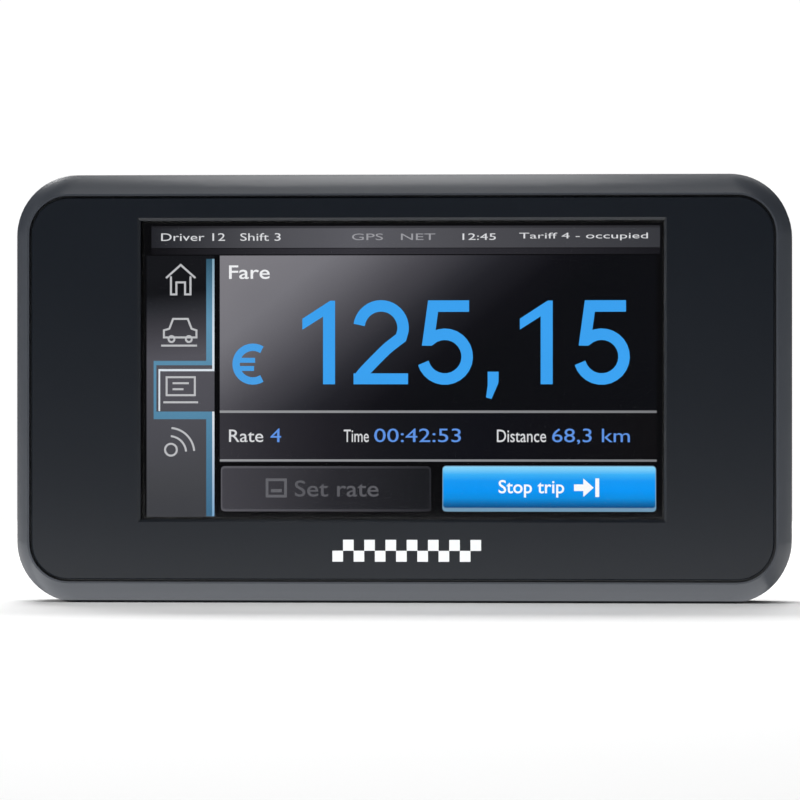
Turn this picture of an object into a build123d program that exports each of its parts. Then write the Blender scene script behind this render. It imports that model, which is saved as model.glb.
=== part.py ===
from build123d import *
import os

# In-vehicle taxi meter: a flat touch-screen unit in a two-part moulded case.
#
# Frame: +Z up, the screen faces -Y, +X to the right of someone reading the screen. The origin is the
# bottom centre of the whole unit, standing on its lower edge. All sizes are in millimetres.
#
# Depths are counted from the front plane, the plane of the face panel, towards the back: depth(0) is
# the front plane and depth(CASE_DEPTH) is the rear face.

# ---- case -------------------------------------------------------------------------------------
CASE_WIDTH = 142.0
CASE_HEIGHT = 78.4
CASE_DEPTH = 24.0
CORNER_RADIUS = 11.2
WALL = 2.2
SEAM_GAP = 0.6               # filled by the gasket, seen as a shadow line
SEAM_SETBACK = 0.5           # gasket edge inside the case's outside
SEAM_INNER_SETBACK = 0.2     # gasket edge outside the cavity
REAR_EDGE_RADIUS = 2.4
RIM_SIDE = 2.65              # width of the bevelled rim at the left and right
RIM_TOP = 3.9                # width of the bevelled rim at the top and bottom
RIM_DEPTH = 3.6
RIM_LAND = 0.35              # flat nose of the rim beside the face panel
RIM_BULGE = 0.40             # share of the rim's width still to go halfway down its depth
FACE_CORNER_RADIUS = 7.2

# ---- face panel and display -------------------------------------------------------------------
PANEL_SINK = 0.1             # panel face behind the rim's nose
PANEL_BACK = 2.0
PANEL_GAP = 0.45             # groove round the face panel
TAPE_THICKNESS = 0.2
TAPE_SETBACK = 0.5           # tape edge inside the panel edge
PANEL_BREAK = 0.15           # broken outer edge of the face panel
PILOT_SKIN = 1.0             # case left in front of a pilot hole
LEDGE_THICKNESS = 1.6        # web of the front case behind the face panel
VIEW_WIDTH = 95.04           # lit area of a 4.3 inch wide screen
VIEW_HEIGHT = 53.86
VIEW_RISE = 3.4              # lit area's centre above the case's centre
WINDOW_MARGIN = 0.4
WINDOW_BEVEL = 0.5
GASKET_THICKNESS = 0.5
GASKET_WIDTH = 2.4
GASKET_SETBACK = 0.5         # gasket edge outside the window
TOUCH_THICKNESS = 1.4
TOUCH_BORDER = 3.6           # touch glass beyond the lit area
TOUCH_AIR = 0.1              # touch glass to the screen module
LCD_THICKNESS = 3.0
LCD_SIDE_BORDER = 5.2
LCD_TOP_BORDER = 4.2
LCD_BOTTOM_BORDER = 8.4      # driver chip and tail
LCD_CELL_THICKNESS = 1.1
LCD_SKIN = 0.25              # pressed steel round the screen module
LCD_CORNER = 0.6
LCD_MARGIN = 1.0             # skin edge outside the lit area
FIT_GAP = 0.5                # clearance round a module in its opening
CHASSIS_THICKNESS = 0.8
FRONT_PART_ROOM = 2.8        # between the chassis plate and the board
CHASSIS_EDGE = 0.4           # plate beyond its screw posts
CHASSIS_SHORTER = 8.0        # plate height less than the screen module's
CHASSIS_CORNER = 2.0
CHASSIS_WINDOW = (24.0, 34.0, 4.0)   # width, height and corner radius of each lightening hole
CHASSIS_WINDOW_PITCH = 34.0
TAIL_THICKNESS = 0.15
TAIL_HALF_WIDTH = 12.0
TAIL_DROP = 1.6              # fold below the screen module
TAIL_SETBACK = 1.0           # tail root in front of the module's back
TAIL_ENTRY = 0.8             # end of the tail at its socket
SOCKET_THICKNESS = 1.2
SOCKET_HEIGHT = 3.6
SOCKET_SIDE = 1.5            # socket beyond the tail on each side

# ---- bosses, posts and screws -----------------------------------------------------------------
BOSS_INSET = 7.6             # case screws from the case's outer faces
BOSS_RADIUS = 3.4
REAR_BOSS_RADIUS = 4.0
CASE_SCREW_RADIUS = 1.45
CASE_SCREW_HEAD_RADIUS = 2.7
CASE_SCREW_HEAD_HEIGHT = 1.9
CASE_SCREW_LENGTH = 12.0
CASE_SCREW_SEAT = 18.4       # depth of the face that the screw head bears on
HEAD_WELL_RADIUS = 3.1
SCREW_GAP = 0.05             # round a screw in its pilot hole
CLEAR_GAP = 0.25             # round a screw in its clearance hole
SMALL_SCREW_RADIUS = 1.0
SMALL_HEAD_RADIUS = 1.9
SMALL_HEAD_HEIGHT = 1.3
SMALL_SCREW_LENGTH = 4.4
SMALL_HEAD_ROUND = 0.5
CROSS_LENGTH = 2.2           # cross recess of a small screw
CROSS_WIDTH = 0.5
CROSS_DEPTH = 0.7
CASE_HEAD_ROUND = 0.6
HEX_RADIUS = 1.3             # hexagon socket of a case screw
HEX_DEPTH = 1.2
POST_RADIUS = 2.4
BOARD_POST_X_INSET = 11.0    # from the case's side faces
BOARD_POST_CLEARANCE = 0.6   # board posts to the harness header's level
CHASSIS_POST_Z = 13.0
SEAL_PLUG_THICKNESS = 1.4
SEAL_PLUG_SINK = 0.5         # plug's face below the rear face
SEAL_RIM = 0.9               # raised rim, and radius of the raised centre
SEAL_DISH = 0.4
SEAL_CENTRE_SINK = 0.1

# ---- main board -------------------------------------------------------------------------------
BOARD_THICKNESS = 1.6
BOARD_WALL_GAP = 1.9         # board edge to the case's inner wall
BOARD_NOTCH_GAP = 0.5        # board corner notch to the rear boss
LIP_THICKNESS = 1.0
LIP_LENGTH = 1.6
LIP_GAP = 0.15
TONGUE_LENGTH = 8.0
TONGUE_X = (-46.0, -8.0, 10.0, 46.0)

# ---- mounting pad -----------------------------------------------------------------------------
PAD_RISE = 3.0
PAD_WIDTH = 50.0
PAD_HEIGHT = 42.0
PAD_RADIUS = 4.0
PAD_ROUND = 0.8
MOUNT_SPACING_X = 38.1       # four-hole vehicle mount pattern, 1.5 in
MOUNT_SPACING_Z = 30.2       # 1.188 in
INSERT_OUTER_RADIUS = 2.8
INSERT_BORE_RADIUS = 1.65    # tapped M4
INSERT_LENGTH = 6.4
INSERT_GAP = 0.02
INSERT_FLOOR = 1.0           # boss beyond the insert's inner end
MOUNT_BOSS_RADIUS = 4.2

# ---- card reader and its slot -----------------------------------------------------------------
CARD_WIDTH = 54.0
CARD_THICKNESS = 0.8
CARD_GAP = 0.3
CARD_RISE = 3.1              # card's mid plane above the board
READER_LENGTH = 54.0
READER_SIDE = 3.0            # reader beyond the card on each side
READER_THICKNESS = 6.0
READER_SETBACK = 13.5        # reader's mouth from the case's side face
READER_COVER_THICKNESS = 0.4
READER_STOP = 2.0            # closed end of the card channel
READER_FRAME = 6.0           # material round the opening in the reader's back
READER_FRAME_CORNER = 3.0
READER_COVER_EDGE = 2.0      # cover set in from the reader's edges
READER_COVER_CORNER = 1.5
READER_CONTACT_SETBACK = 38.0
READER_CONTACT_PITCH = 2.54
READER_CONTACT_ROWS = 4
READER_COLUMN_PITCH = 7.6
LEAF_LENGTH = 5.4
LEAF_WIDTH = 1.0
LEAF_THICKNESS = 0.2
LEAF_FOOT = 1.2
LEAF_GAP = 0.3               # leaf to the sides of its pocket
LEAF_SINK = 0.1              # leaf below the channel's floor
TRIM_SIDE = 3.0              # trim beyond the card at each end
TRIM_HEIGHT = 6.0
TRIM_REACH = 5.0             # from the case's side face inwards
TRIM_LIP = 1.6               # thickness of the outer lip that holds the mouth
TRIM_FIT = 0.02
TRIM_CHAMBER_MARGIN = 1.0    # flap's chamber beyond the card at each end
CHAMBER_GAP = 0.6            # chamber beyond the flap and the mouth
MOUTH_HEIGHT = 2.0
MOUTH_BEVEL = 0.7
FLAP_THICKNESS = 0.6
FLAP_PIN_RADIUS = 0.4
FLAP_PIN_LENGTH = 1.1
FLAP_RISE = 1.3              # hinge line to the card's mid plane
FLAP_GAP = 0.25
FLAP_OVERLAP = 0.3           # flap beyond the mouth's edge

# ---- service port -----------------------------------------------------------------------------
USB_LENGTH = 13.8
USB_WIDTH = 14.3
USB_HEIGHT = 7.0
USB_SKIN = 0.4
USB_FLOOR = 1.0              # shell's lower and upper walls
TONGUE_ROOT = 3.0
TONGUE_REACH = 8.0
TONGUE_SHIFT = 0.2           # tongue's lower face behind the socket's mid plane
TONGUE_HEIGHT = 1.8
TONGUE_SIDE_GAP = 1.2
USB_MOUTH_GAP = 0.4          # socket's mouth to the inside of the wall
USB_Z = 2.0                  # socket's centre above mid height
DOOR_HEIGHT = 19.0
DOOR_WIDTH = 6.4
DOOR_THICKNESS = 1.6
DOOR_GAP = 0.2
DOOR_NOTCH_HALF_WIDTH = 1.8
DOOR_NOTCH_HEIGHT = 1.3
DOOR_NOTCH_DEPTH = 0.7
KNUCKLE_RADIUS = 1.2
HINGE_RELIEF = 0.35
PIN_RADIUS = 0.5
PIN_FIT = 0.04
PIN_HOLD = 0.8               # length of pin in each side of the opening

# ---- power key --------------------------------------------------------------------------------
KEY_X = 30.0
KEY_LENGTH = 11.0
KEY_WIDTH = 4.0
KEY_SINK = 0.2               # key's face below the case's top
KEY_GAP = 0.2
KEY_CORNER = 1.2
KEY_ROUND = 0.3
KEY_TRAVEL = 0.5
KEY_FLANGE = 1.0
KEY_FLANGE_REACH = 0.7       # beyond the cap on every side
KEY_SLACK = 0.1              # flange to the inside of the wall
SWITCH_LENGTH = 6.0
SWITCH_HEIGHT = 3.4
SWITCH_DEPTH = 3.6
PLUNGER_RADIUS = 0.9
PLUNGER_LENGTH = 0.8
PLUNGER_TAIL = 0.6           # part of the plunger inside the switch
PLUNGER_ROOM = 0.2           # left under the plunger when pressed

# ---- connectors on the back -------------------------------------------------------------------
HARNESS_PAD_GAP = 2.2        # from the mounting pad to the header
HARNESS_DROP = 24.0          # below mid height
HARNESS_END = 3.3            # outermost contact to the header's end
HARNESS_HEIGHT = 10.0
HARNESS_WALL = 1.1
HARNESS_STAND_OUT = 2.0      # beyond the rear face
HARNESS_SOCKET_DEPTH = 10.6
HARNESS_GAP = 0.3
HARNESS_KEY_WIDTH = 4.0      # polarising slot in the shroud
HARNESS_KEY_DEPTH = 5.0
CONTACT_PITCH = 3.0
CONTACT_SIZE = 0.64
CONTACT_REACH = 5.4
CONTACTS_PER_ROW = 8
JACK_X = (-14.0, -1.0)
JACK_DROP = 28.2
JACK_RADIUS = 3.175          # screwed end, quarter inch
JACK_BARREL_RADIUS = 3.4     # from the board out to just beyond the nut
JACK_BASE = 7.0
JACK_BASE_HEIGHT = 3.0
JACK_STAND_OUT = 9.5
JACK_NUT_WIDTH = 8.0         # across flats
JACK_NUT_THICKNESS = 2.2
JACK_NUT_GAP = 0.02
JACK_WASHER_RADIUS = 4.7
JACK_WASHER_THICKNESS = 0.5
JACK_HOLE_GAP = 0.15
JACK_BORE_RADIUS = 2.3
JACK_BORE_DEPTH = 4.0
JACK_CORE_SINK = 1.6
JACK_CONTACT_RADIUS = 0.64
JACK_CONTACT_BORE = 0.35
JACK_CONTACT_BORE_DEPTH = 1.5
JACK_CONTACT_REACH = 0.4     # contact beyond the insulator
JACK_SHOULDER = 0.4          # barrel beyond the nut

# ---- parts on the board: sizes as (width, height, thickness), heights from mid height ----------
PROCESSOR_X = -16.0
PROCESSOR_RISE = -12.0
PROCESSOR_SIZE = (11.0, 11.0, 1.2)
PROCESSOR_SHIFT = (-3.0, 2.0)        # processor's centre from the can's centre
MEMORY_SIZE = (4.6, 9.0, 0.9)
MEMORY_SHIFT = 6.0
MEMORY_PITCH = 9.6
CAN_SIZE = 20.0
CAN_HEIGHT = 2.4
CAN_SKIN = 0.2
CAN_HOLE_RADIUS = 0.6
CAN_HOLE_PITCH = 3.0
MODEM_X = -16.0
MODEM_RISE = 12.0
MODEM_CARRIER = (24.0, 24.0, 0.8)
MODEM_CAN = (22.0, 22.0, 2.0)
MODEM_CAN_CORNER = 1.0
CAN_HOLES = range(-2, 3)
RECEIVER_X = 30.0
RECEIVER_RISE = 12.0
RECEIVER_SIZE = (12.0, 16.0, 2.2)
SIM_HOLDER_X = -30.0
SIM_RISE = 6.0
SIM_HOLDER_SIZE = (28.0, 17.0, 1.9)
SIM_WALL = 0.4               # holder round the card
SIM_CARD_SIZE = (25.0, 15.0, 0.76)
SIM_GAP = 0.12
SIM_STICK_OUT = 0.4          # card beyond the holder's open end
CAPACITOR_X = (-26.5, -18.5)
CAPACITOR_RISE = 30.0
CAPACITOR_RADIUS = 3.15
CAPACITOR_HEIGHT = 6.8
CAPACITOR_ROUND = 0.5
COIL_X = -8.0
COIL_RISE = 30.0
COIL_SIZE = 9.0
COIL_HEIGHT = 4.2
COIL_CORNER = 2.0
SPEAKER_X = -42.0
SPEAKER_Z = 20.0
SPEAKER_RADIUS = 10.0
SPEAKER_THICKNESS = 5.0
SPEAKER_RIM_THICKNESS = 1.6
MAGNET_RADIUS = 6.0
PAD_OPENING_MARGIN = 0.4      # foam ring outside the grille
SPEAKER_PAD_THICKNESS = 0.8
GRILLE_PITCH = 2.4
GRILLE_SLOT = 1.1
GRILLE_RADIUS = 8.4
CELL_X = -42.0
CELL_Z = -6.0
CELL_RADIUS = 8.0
CELL_THICKNESS = 2.5
CELL_HOLDER_WALL = 1.0
CELL_HOLDER_FLOOR = 0.5
CELL_GAP = 0.1
VENT_X = 43.0
VENT_Z = 18.0
VENT_SLOTS = 6
VENT_PITCH = 3.4
VENT_LENGTH = 24.0
VENT_SLOT = 1.4
LABEL_WIDTH = 36.0
LABEL_HEIGHT = 20.0
LABEL_THICKNESS = 0.15
LABEL_SINK = 0.35
LABEL_CORNER = 1.0
LABEL_GAP = 0.2
LABEL_X = 45.0
LABEL_Z = -16.0

# ---- worked out from the above ----------------------------------------------------------------
JACK_TIP = CASE_DEPTH + JACK_STAND_OUT
PAD_FACE = CASE_DEPTH + PAD_RISE
OVERALL_DEPTH = max(JACK_TIP, PAD_FACE)
MID_Z = CASE_HEIGHT / 2
VIEW_Z = MID_Z + VIEW_RISE
INNER_WIDTH = CASE_WIDTH - 2 * WALL
INNER_HEIGHT = CASE_HEIGHT - 2 * WALL
LEDGE_DEPTH = PANEL_BACK + TAPE_THICKNESS
LEDGE_BACK = LEDGE_DEPTH + LEDGE_THICKNESS
TOUCH_DEPTH = PANEL_BACK + GASKET_THICKNESS
LCD_DEPTH = TOUCH_DEPTH + TOUCH_THICKNESS + TOUCH_AIR
LCD_BACK = LCD_DEPTH + LCD_THICKNESS
LCD_WIDTH = VIEW_WIDTH + 2 * LCD_SIDE_BORDER
LCD_HEIGHT = VIEW_HEIGHT + LCD_TOP_BORDER + LCD_BOTTOM_BORDER
LCD_Z = VIEW_Z + (LCD_TOP_BORDER - LCD_BOTTOM_BORDER) / 2
LCD_BOTTOM = LCD_Z - LCD_HEIGHT / 2
TAIL_Z = LCD_BOTTOM - TAIL_DROP
TAIL_START = LCD_BACK - TAIL_SETBACK
BOARD_DEPTH = LCD_BACK + CHASSIS_THICKNESS + FRONT_PART_ROOM
SEAM_DEPTH = BOARD_DEPTH     # where the front case ends
REAR_START = SEAM_DEPTH + SEAM_GAP
SOCKET_NEAR = BOARD_DEPTH - SOCKET_THICKNESS
BOARD_BACK = BOARD_DEPTH + BOARD_THICKNESS
PROCESSOR_Z = MID_Z + PROCESSOR_RISE
BOARD_WIDTH = INNER_WIDTH - 2 * BOARD_WALL_GAP
BOARD_HEIGHT = INNER_HEIGHT - 2 * BOARD_WALL_GAP
BOSS_X = CASE_WIDTH / 2 - BOSS_INSET
BOSS_Z = CASE_HEIGHT / 2 - BOSS_INSET
BOARD_POST_X = CASE_WIDTH / 2 - BOARD_POST_X_INSET
CHASSIS_POST_X = LCD_WIDTH / 2 + FIT_GAP + POST_RADIUS
CARD_DEPTH = BOARD_BACK + CARD_RISE
CARD_SPACE = CARD_WIDTH + 2 * CARD_GAP
READER_HEIGHT = CARD_WIDTH + 2 * READER_SIDE
TRIM_LENGTH = CARD_WIDTH + 2 * TRIM_SIDE
RIGHT_FACE = CASE_WIDTH / 2
READER_MOUTH = RIGHT_FACE - READER_SETBACK
READER_X = READER_MOUTH - READER_LENGTH / 2
USB_MID_DEPTH = BOARD_BACK + USB_HEIGHT / 2
LEFT_FACE = -CASE_WIDTH / 2
HINGE_X = LEFT_FACE + KNUCKLE_RADIUS
HINGE_Z = MID_Z + USB_Z - DOOR_HEIGHT / 2 + KNUCKLE_RADIUS
USB_MID_Z = MID_Z + USB_Z
DOOR_TOP = USB_MID_Z + DOOR_HEIGHT / 2
DOOR_BOTTOM = HINGE_Z - KNUCKLE_RADIUS - HINGE_RELIEF
USB_FRONT = LEFT_FACE + WALL + USB_MOUTH_GAP
USB_BACK = USB_FRONT + USB_LENGTH
KEY_DEPTH = BOARD_BACK + SWITCH_DEPTH / 2
KEY_TOP = CASE_HEIGHT - KEY_SINK
KEY_UNDERSIDE = CASE_HEIGHT - WALL - KEY_FLANGE - KEY_SLACK
HARNESS_WIDTH = CONTACT_PITCH * (CONTACTS_PER_ROW - 1) + 2 * HARNESS_END
HARNESS_X = -(PAD_WIDTH / 2 + HARNESS_PAD_GAP + HARNESS_WIDTH / 2)
HARNESS_Z = MID_Z - HARNESS_DROP
BOARD_POST_Z = HARNESS_DROP - HARNESS_HEIGHT / 2 - POST_RADIUS - BOARD_POST_CLEARANCE
HARNESS_TIP = CASE_DEPTH + HARNESS_STAND_OUT
JACK_Z = MID_Z - JACK_DROP
CORNERS = [(sx, sz) for sx in (-1, 1) for sz in (-1, 1)]


def depth(distance):
    """Y of a plane that lies this far behind the front plane."""
    return distance - OVERALL_DEPTH / 2


def at_depth(distance, x=0.0, z=MID_Z):
    """Drawing plane seen from the front: its x is +X, its y is +Z, and it extrudes towards the viewer."""
    return Plane(origin=(x, depth(distance), z), x_dir=(1, 0, 0), z_dir=(0, -1, 0))


def slab(width, height, near, far, x=0.0, z=MID_Z, radius=0.0):
    """Plate facing the viewer from depth near to depth far, with rounded corners if a radius is given."""
    outline = RectangleRounded(width, height, radius) if radius else Rectangle(width, height)
    return extrude(at_depth(far, x, z) * outline, far - near)


def rod(radius, near, far, x, z):
    """Round bar along Y from depth near to depth far."""
    return extrude(at_depth(far, x, z) * Circle(radius), far - near)


def rod_z(radius, low, high, x, at):
    """Round bar along Z at depth at."""
    return extrude(Plane.XY.offset(low) * Pos(x, depth(at)) * Circle(radius), high - low)


def block(x0, x1, near, far, z0, z1):
    """Box between two values of X, two depths and two values of Z."""
    size = Box(x1 - x0, far - near, z1 - z0)
    return Pos((x0 + x1) / 2, depth((near + far) / 2), (z0 + z1) / 2) * size


def joined(solids):
    """Several separate solids as one node."""
    return Compound(children=[solid for group in solids for solid in group.solids()])


# ---- front case and display -------------------------------------------------------------------
def rim_section(inset_share, distance):
    """Outline of the bevelled rim where it has inset_share of its width still to go."""
    side = (RIM_SIDE - RIM_LAND) * inset_share
    top = (RIM_TOP - RIM_LAND) * inset_share
    radius = CORNER_RADIUS - (CORNER_RADIUS - FACE_CORNER_RADIUS - RIM_LAND) * inset_share
    outline = RectangleRounded(CASE_WIDTH - 2 * side, CASE_HEIGHT - 2 * top, radius)
    return at_depth(distance) * outline


def front_case():
    """Grey front moulding: bevelled rim, side walls, panel ledge, bosses and posts."""
    rim = loft([rim_section(1, 0), rim_section(RIM_BULGE, RIM_DEPTH / 2), rim_section(0, RIM_DEPTH)])
    body = rim + slab(CASE_WIDTH, CASE_HEIGHT, RIM_DEPTH, SEAM_DEPTH, radius=CORNER_RADIUS)
    body -= slab(CASE_WIDTH - 2 * RIM_SIDE, CASE_HEIGHT - 2 * RIM_TOP, 0, LEDGE_DEPTH,
                 radius=FACE_CORNER_RADIUS)
    body -= slab(INNER_WIDTH, INNER_HEIGHT, LEDGE_BACK, SEAM_DEPTH, radius=CORNER_RADIUS - WALL)
    body -= slab(LCD_WIDTH + 2 * FIT_GAP, LCD_HEIGHT + 2 * FIT_GAP, LEDGE_DEPTH, LEDGE_BACK, z=LCD_Z)
    for sx, sz in CORNERS:
        body += rod(BOSS_RADIUS, LEDGE_BACK, SEAM_DEPTH, sx * BOSS_X, MID_Z + sz * BOSS_Z)
        body += rod(POST_RADIUS, LEDGE_BACK, BOARD_DEPTH, sx * BOARD_POST_X, MID_Z + sz * BOARD_POST_Z)
        body += rod(POST_RADIUS, LEDGE_BACK, LCD_BACK, sx * CHASSIS_POST_X, MID_Z + sz * CHASSIS_POST_Z)
    pilot = SMALL_SCREW_RADIUS + SCREW_GAP
    for sx, sz in CORNERS:
        body -= rod(CASE_SCREW_RADIUS + SCREW_GAP, LEDGE_BACK, SEAM_DEPTH, sx * BOSS_X, MID_Z + sz * BOSS_Z)
        body -= rod(pilot, LEDGE_BACK, BOARD_DEPTH, sx * BOARD_POST_X, MID_Z + sz * BOARD_POST_Z)
        body -= rod(pilot, LEDGE_DEPTH + PILOT_SKIN, LCD_BACK,
                    sx * CHASSIS_POST_X, MID_Z + sz * CHASSIS_POST_Z)
    return body


def face_panel():
    """Dark flat panel let into the rim, with the screen window."""
    width = CASE_WIDTH - 2 * RIM_SIDE - 2 * PANEL_GAP
    height = CASE_HEIGHT - 2 * RIM_TOP - 2 * PANEL_GAP
    body = slab(width, height, PANEL_SINK, PANEL_BACK, radius=FACE_CORNER_RADIUS - PANEL_GAP)
    body = chamfer(body.faces().sort_by(Axis.Y)[0].outer_wire().edges(), PANEL_BREAK)
    window_width = VIEW_WIDTH + 2 * WINDOW_MARGIN
    window_height = VIEW_HEIGHT + 2 * WINDOW_MARGIN
    body -= slab(window_width, window_height, PANEL_SINK, PANEL_BACK, z=VIEW_Z)
    front = body.faces().sort_by(Axis.Y)[0]
    return chamfer(front.inner_wires()[0].edges(), WINDOW_BEVEL)


def panel_tape():
    """Double-sided tape that holds the face panel on the case's ledge."""
    inset = PANEL_GAP + TAPE_SETBACK
    width = CASE_WIDTH - 2 * RIM_SIDE - 2 * inset
    height = CASE_HEIGHT - 2 * RIM_TOP - 2 * inset
    ring = slab(width, height, PANEL_BACK, LEDGE_DEPTH, radius=FACE_CORNER_RADIUS - inset)
    inner_width = LCD_WIDTH + 2 * FIT_GAP
    return ring - slab(inner_width, LCD_HEIGHT + 2 * FIT_GAP, PANEL_BACK, LEDGE_DEPTH, z=LCD_Z)


def window_gasket():
    """Foam frame between the face panel and the touch glass."""
    width = VIEW_WIDTH + 2 * (WINDOW_MARGIN + GASKET_SETBACK)
    height = VIEW_HEIGHT + 2 * (WINDOW_MARGIN + GASKET_SETBACK)
    outer = slab(width + 2 * GASKET_WIDTH, height + 2 * GASKET_WIDTH, PANEL_BACK, TOUCH_DEPTH, z=VIEW_Z)
    return outer - slab(width, height, PANEL_BACK, TOUCH_DEPTH, z=VIEW_Z)


def touch_panel():
    """Resistive touch glass over the whole screen."""
    far = TOUCH_DEPTH + TOUCH_THICKNESS
    return slab(VIEW_WIDTH + 2 * TOUCH_BORDER, VIEW_HEIGHT + 2 * TOUCH_BORDER, TOUCH_DEPTH, far, z=VIEW_Z)


def lcd_skin_size():
    """Width and height inside the screen module's steel skin."""
    return LCD_WIDTH - 2 * LCD_SKIN, LCD_HEIGHT - 2 * LCD_SKIN


def lcd_frame():
    """Pressed steel skin of the screen module, open at the back."""
    body = slab(LCD_WIDTH, LCD_HEIGHT, LCD_DEPTH, LCD_BACK, z=LCD_Z, radius=LCD_CORNER)
    body -= slab(*lcd_skin_size(), LCD_DEPTH + LCD_SKIN, LCD_BACK, z=LCD_Z)
    opening = slab(VIEW_WIDTH + 2 * LCD_MARGIN, VIEW_HEIGHT + 2 * LCD_MARGIN, LCD_DEPTH, LCD_DEPTH + LCD_SKIN,
                   z=VIEW_Z)
    return body - opening


def lcd_cell():
    """Liquid-crystal glass sandwich inside the skin."""
    near = LCD_DEPTH + LCD_SKIN
    return slab(*lcd_skin_size(), near, near + LCD_CELL_THICKNESS, z=LCD_Z)


def backlight():
    """Light guide and reflector behind the glass."""
    return slab(*lcd_skin_size(), LCD_DEPTH + LCD_SKIN + LCD_CELL_THICKNESS, LCD_BACK, z=LCD_Z)


def lcd_tail():
    """Flex tail that folds under the screen module to its socket on the board."""
    width = (-TAIL_HALF_WIDTH, TAIL_HALF_WIDTH)
    fold = SOCKET_NEAR + SOCKET_THICKNESS / 2
    body = block(*width, TAIL_START, TAIL_START + TAIL_THICKNESS, TAIL_Z, LCD_BOTTOM)
    body += block(*width, TAIL_START, fold + TAIL_THICKNESS, TAIL_Z - TAIL_THICKNESS, TAIL_Z)
    return body + block(*width, fold, fold + TAIL_THICKNESS, TAIL_Z, TAIL_Z + TAIL_ENTRY)


def lcd_socket():
    """Flex socket on the front of the board."""
    half = TAIL_HALF_WIDTH + SOCKET_SIDE
    start = TAIL_Z + TAIL_ENTRY
    return block(-half, half, SOCKET_NEAR, BOARD_DEPTH, start, start + SOCKET_HEIGHT)


def chassis_plate():
    """Sheet-steel plate that clamps the screen module to the front case."""
    far = LCD_BACK + CHASSIS_THICKNESS
    width = 2 * (CHASSIS_POST_X + POST_RADIUS + CHASSIS_EDGE)
    body = slab(width, LCD_HEIGHT - CHASSIS_SHORTER, LCD_BACK, far, z=LCD_Z, radius=CHASSIS_CORNER)
    for sx, sz in CORNERS:
        body -= rod(POST_RADIUS + FIT_GAP, LCD_BACK, far, sx * BOARD_POST_X, MID_Z + sz * BOARD_POST_Z)
        body -= rod(SMALL_SCREW_RADIUS + CLEAR_GAP, LCD_BACK, far,
                    sx * CHASSIS_POST_X, MID_Z + sz * CHASSIS_POST_Z)
    window_width, window_height, window_radius = CHASSIS_WINDOW
    for column in (-1, 0, 1):
        x = column * CHASSIS_WINDOW_PITCH
        body -= slab(window_width, window_height, LCD_BACK, far, x, LCD_Z, window_radius)
    return body


def small_screw(seat, x, z):
    """Pan-head screw whose head bears on depth seat and whose shank runs towards the front."""
    head = rod(SMALL_HEAD_RADIUS, seat, seat + SMALL_HEAD_HEIGHT, x, z)
    top = seat + SMALL_HEAD_HEIGHT
    head = fillet(head.faces().sort_by(Axis.Y)[-1].edges(), SMALL_HEAD_ROUND)
    cross = slab(CROSS_LENGTH, CROSS_WIDTH, top - CROSS_DEPTH, top, x, z)
    cross += slab(CROSS_WIDTH, CROSS_LENGTH, top - CROSS_DEPTH, top, x, z)
    return head - cross + rod(SMALL_SCREW_RADIUS, seat - SMALL_SCREW_LENGTH, seat, x, z)


def chassis_screws():
    """Four screws through the chassis plate into the front case."""
    seat = LCD_BACK + CHASSIS_THICKNESS
    return joined([small_screw(seat, sx * CHASSIS_POST_X, MID_Z + sz * CHASSIS_POST_Z)
                   for sx, sz in CORNERS])


# ---- main board and what sits on it -----------------------------------------------------------
def main_board():
    """Circuit board, notched round the case's corner bosses."""
    body = slab(BOARD_WIDTH, BOARD_HEIGHT, BOARD_DEPTH, BOARD_BACK)
    reach = REAR_BOSS_RADIUS + BOARD_NOTCH_GAP
    for sx, sz in CORNERS:
        body -= slab(2 * (BOSS_INSET + reach), 2 * (BOSS_INSET + reach), BOARD_DEPTH, BOARD_BACK,
                     sx * CASE_WIDTH / 2, MID_Z + sz * CASE_HEIGHT / 2)
        body -= rod(SMALL_SCREW_RADIUS + CLEAR_GAP, BOARD_DEPTH, BOARD_BACK,
                    sx * BOARD_POST_X, MID_Z + sz * BOARD_POST_Z)
    return body


def board_screws():
    """Four screws through the board into the front case's posts."""
    return joined([small_screw(BOARD_BACK, sx * BOARD_POST_X, MID_Z + sz * BOARD_POST_Z)
                   for sx, sz in CORNERS])


def chip(size, x, z, front=False):
    """Flat component on the back of the board, or on its front; size is width, height, thickness."""
    width, height, thickness = size
    if front:
        return slab(width, height, BOARD_DEPTH - thickness, BOARD_DEPTH, x, z)
    return slab(width, height, BOARD_BACK, BOARD_BACK + thickness, x, z)


def processor():
    """Processor and its two memory chips under the shield."""
    shift_x, shift_z = PROCESSOR_SHIFT
    chips = [chip(PROCESSOR_SIZE, PROCESSOR_X + shift_x, PROCESSOR_Z + shift_z)]
    for side in (-1, 1):
        chips.append(chip(MEMORY_SIZE, PROCESSOR_X + MEMORY_SHIFT, PROCESSOR_Z + side * MEMORY_PITCH / 2))
    return joined(chips)


def processor_shield():
    """Tinned shield can over the processor, with cooling holes."""
    inside = CAN_SIZE - 2 * CAN_SKIN
    body = chip((CAN_SIZE, CAN_SIZE, CAN_HEIGHT), PROCESSOR_X, PROCESSOR_Z)
    body -= chip((inside, inside, CAN_HEIGHT - CAN_SKIN), PROCESSOR_X, PROCESSOR_Z)
    top = BOARD_BACK + CAN_HEIGHT
    for column in CAN_HOLES:
        for row in CAN_HOLES:
            body -= rod(CAN_HOLE_RADIUS, top - CAN_SKIN, top,
                        PROCESSOR_X + column * CAN_HOLE_PITCH, PROCESSOR_Z + row * CAN_HOLE_PITCH)
    return body


def modem_module():
    """Mobile-data module: small carrier board with its own can."""
    can_width, can_height, can_thickness = MODEM_CAN
    start = BOARD_BACK + MODEM_CARRIER[2]
    z = MID_Z + MODEM_RISE
    can = slab(can_width, can_height, start, start + can_thickness, MODEM_X, z, MODEM_CAN_CORNER)
    return chip(MODEM_CARRIER, MODEM_X, z) + can


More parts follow.
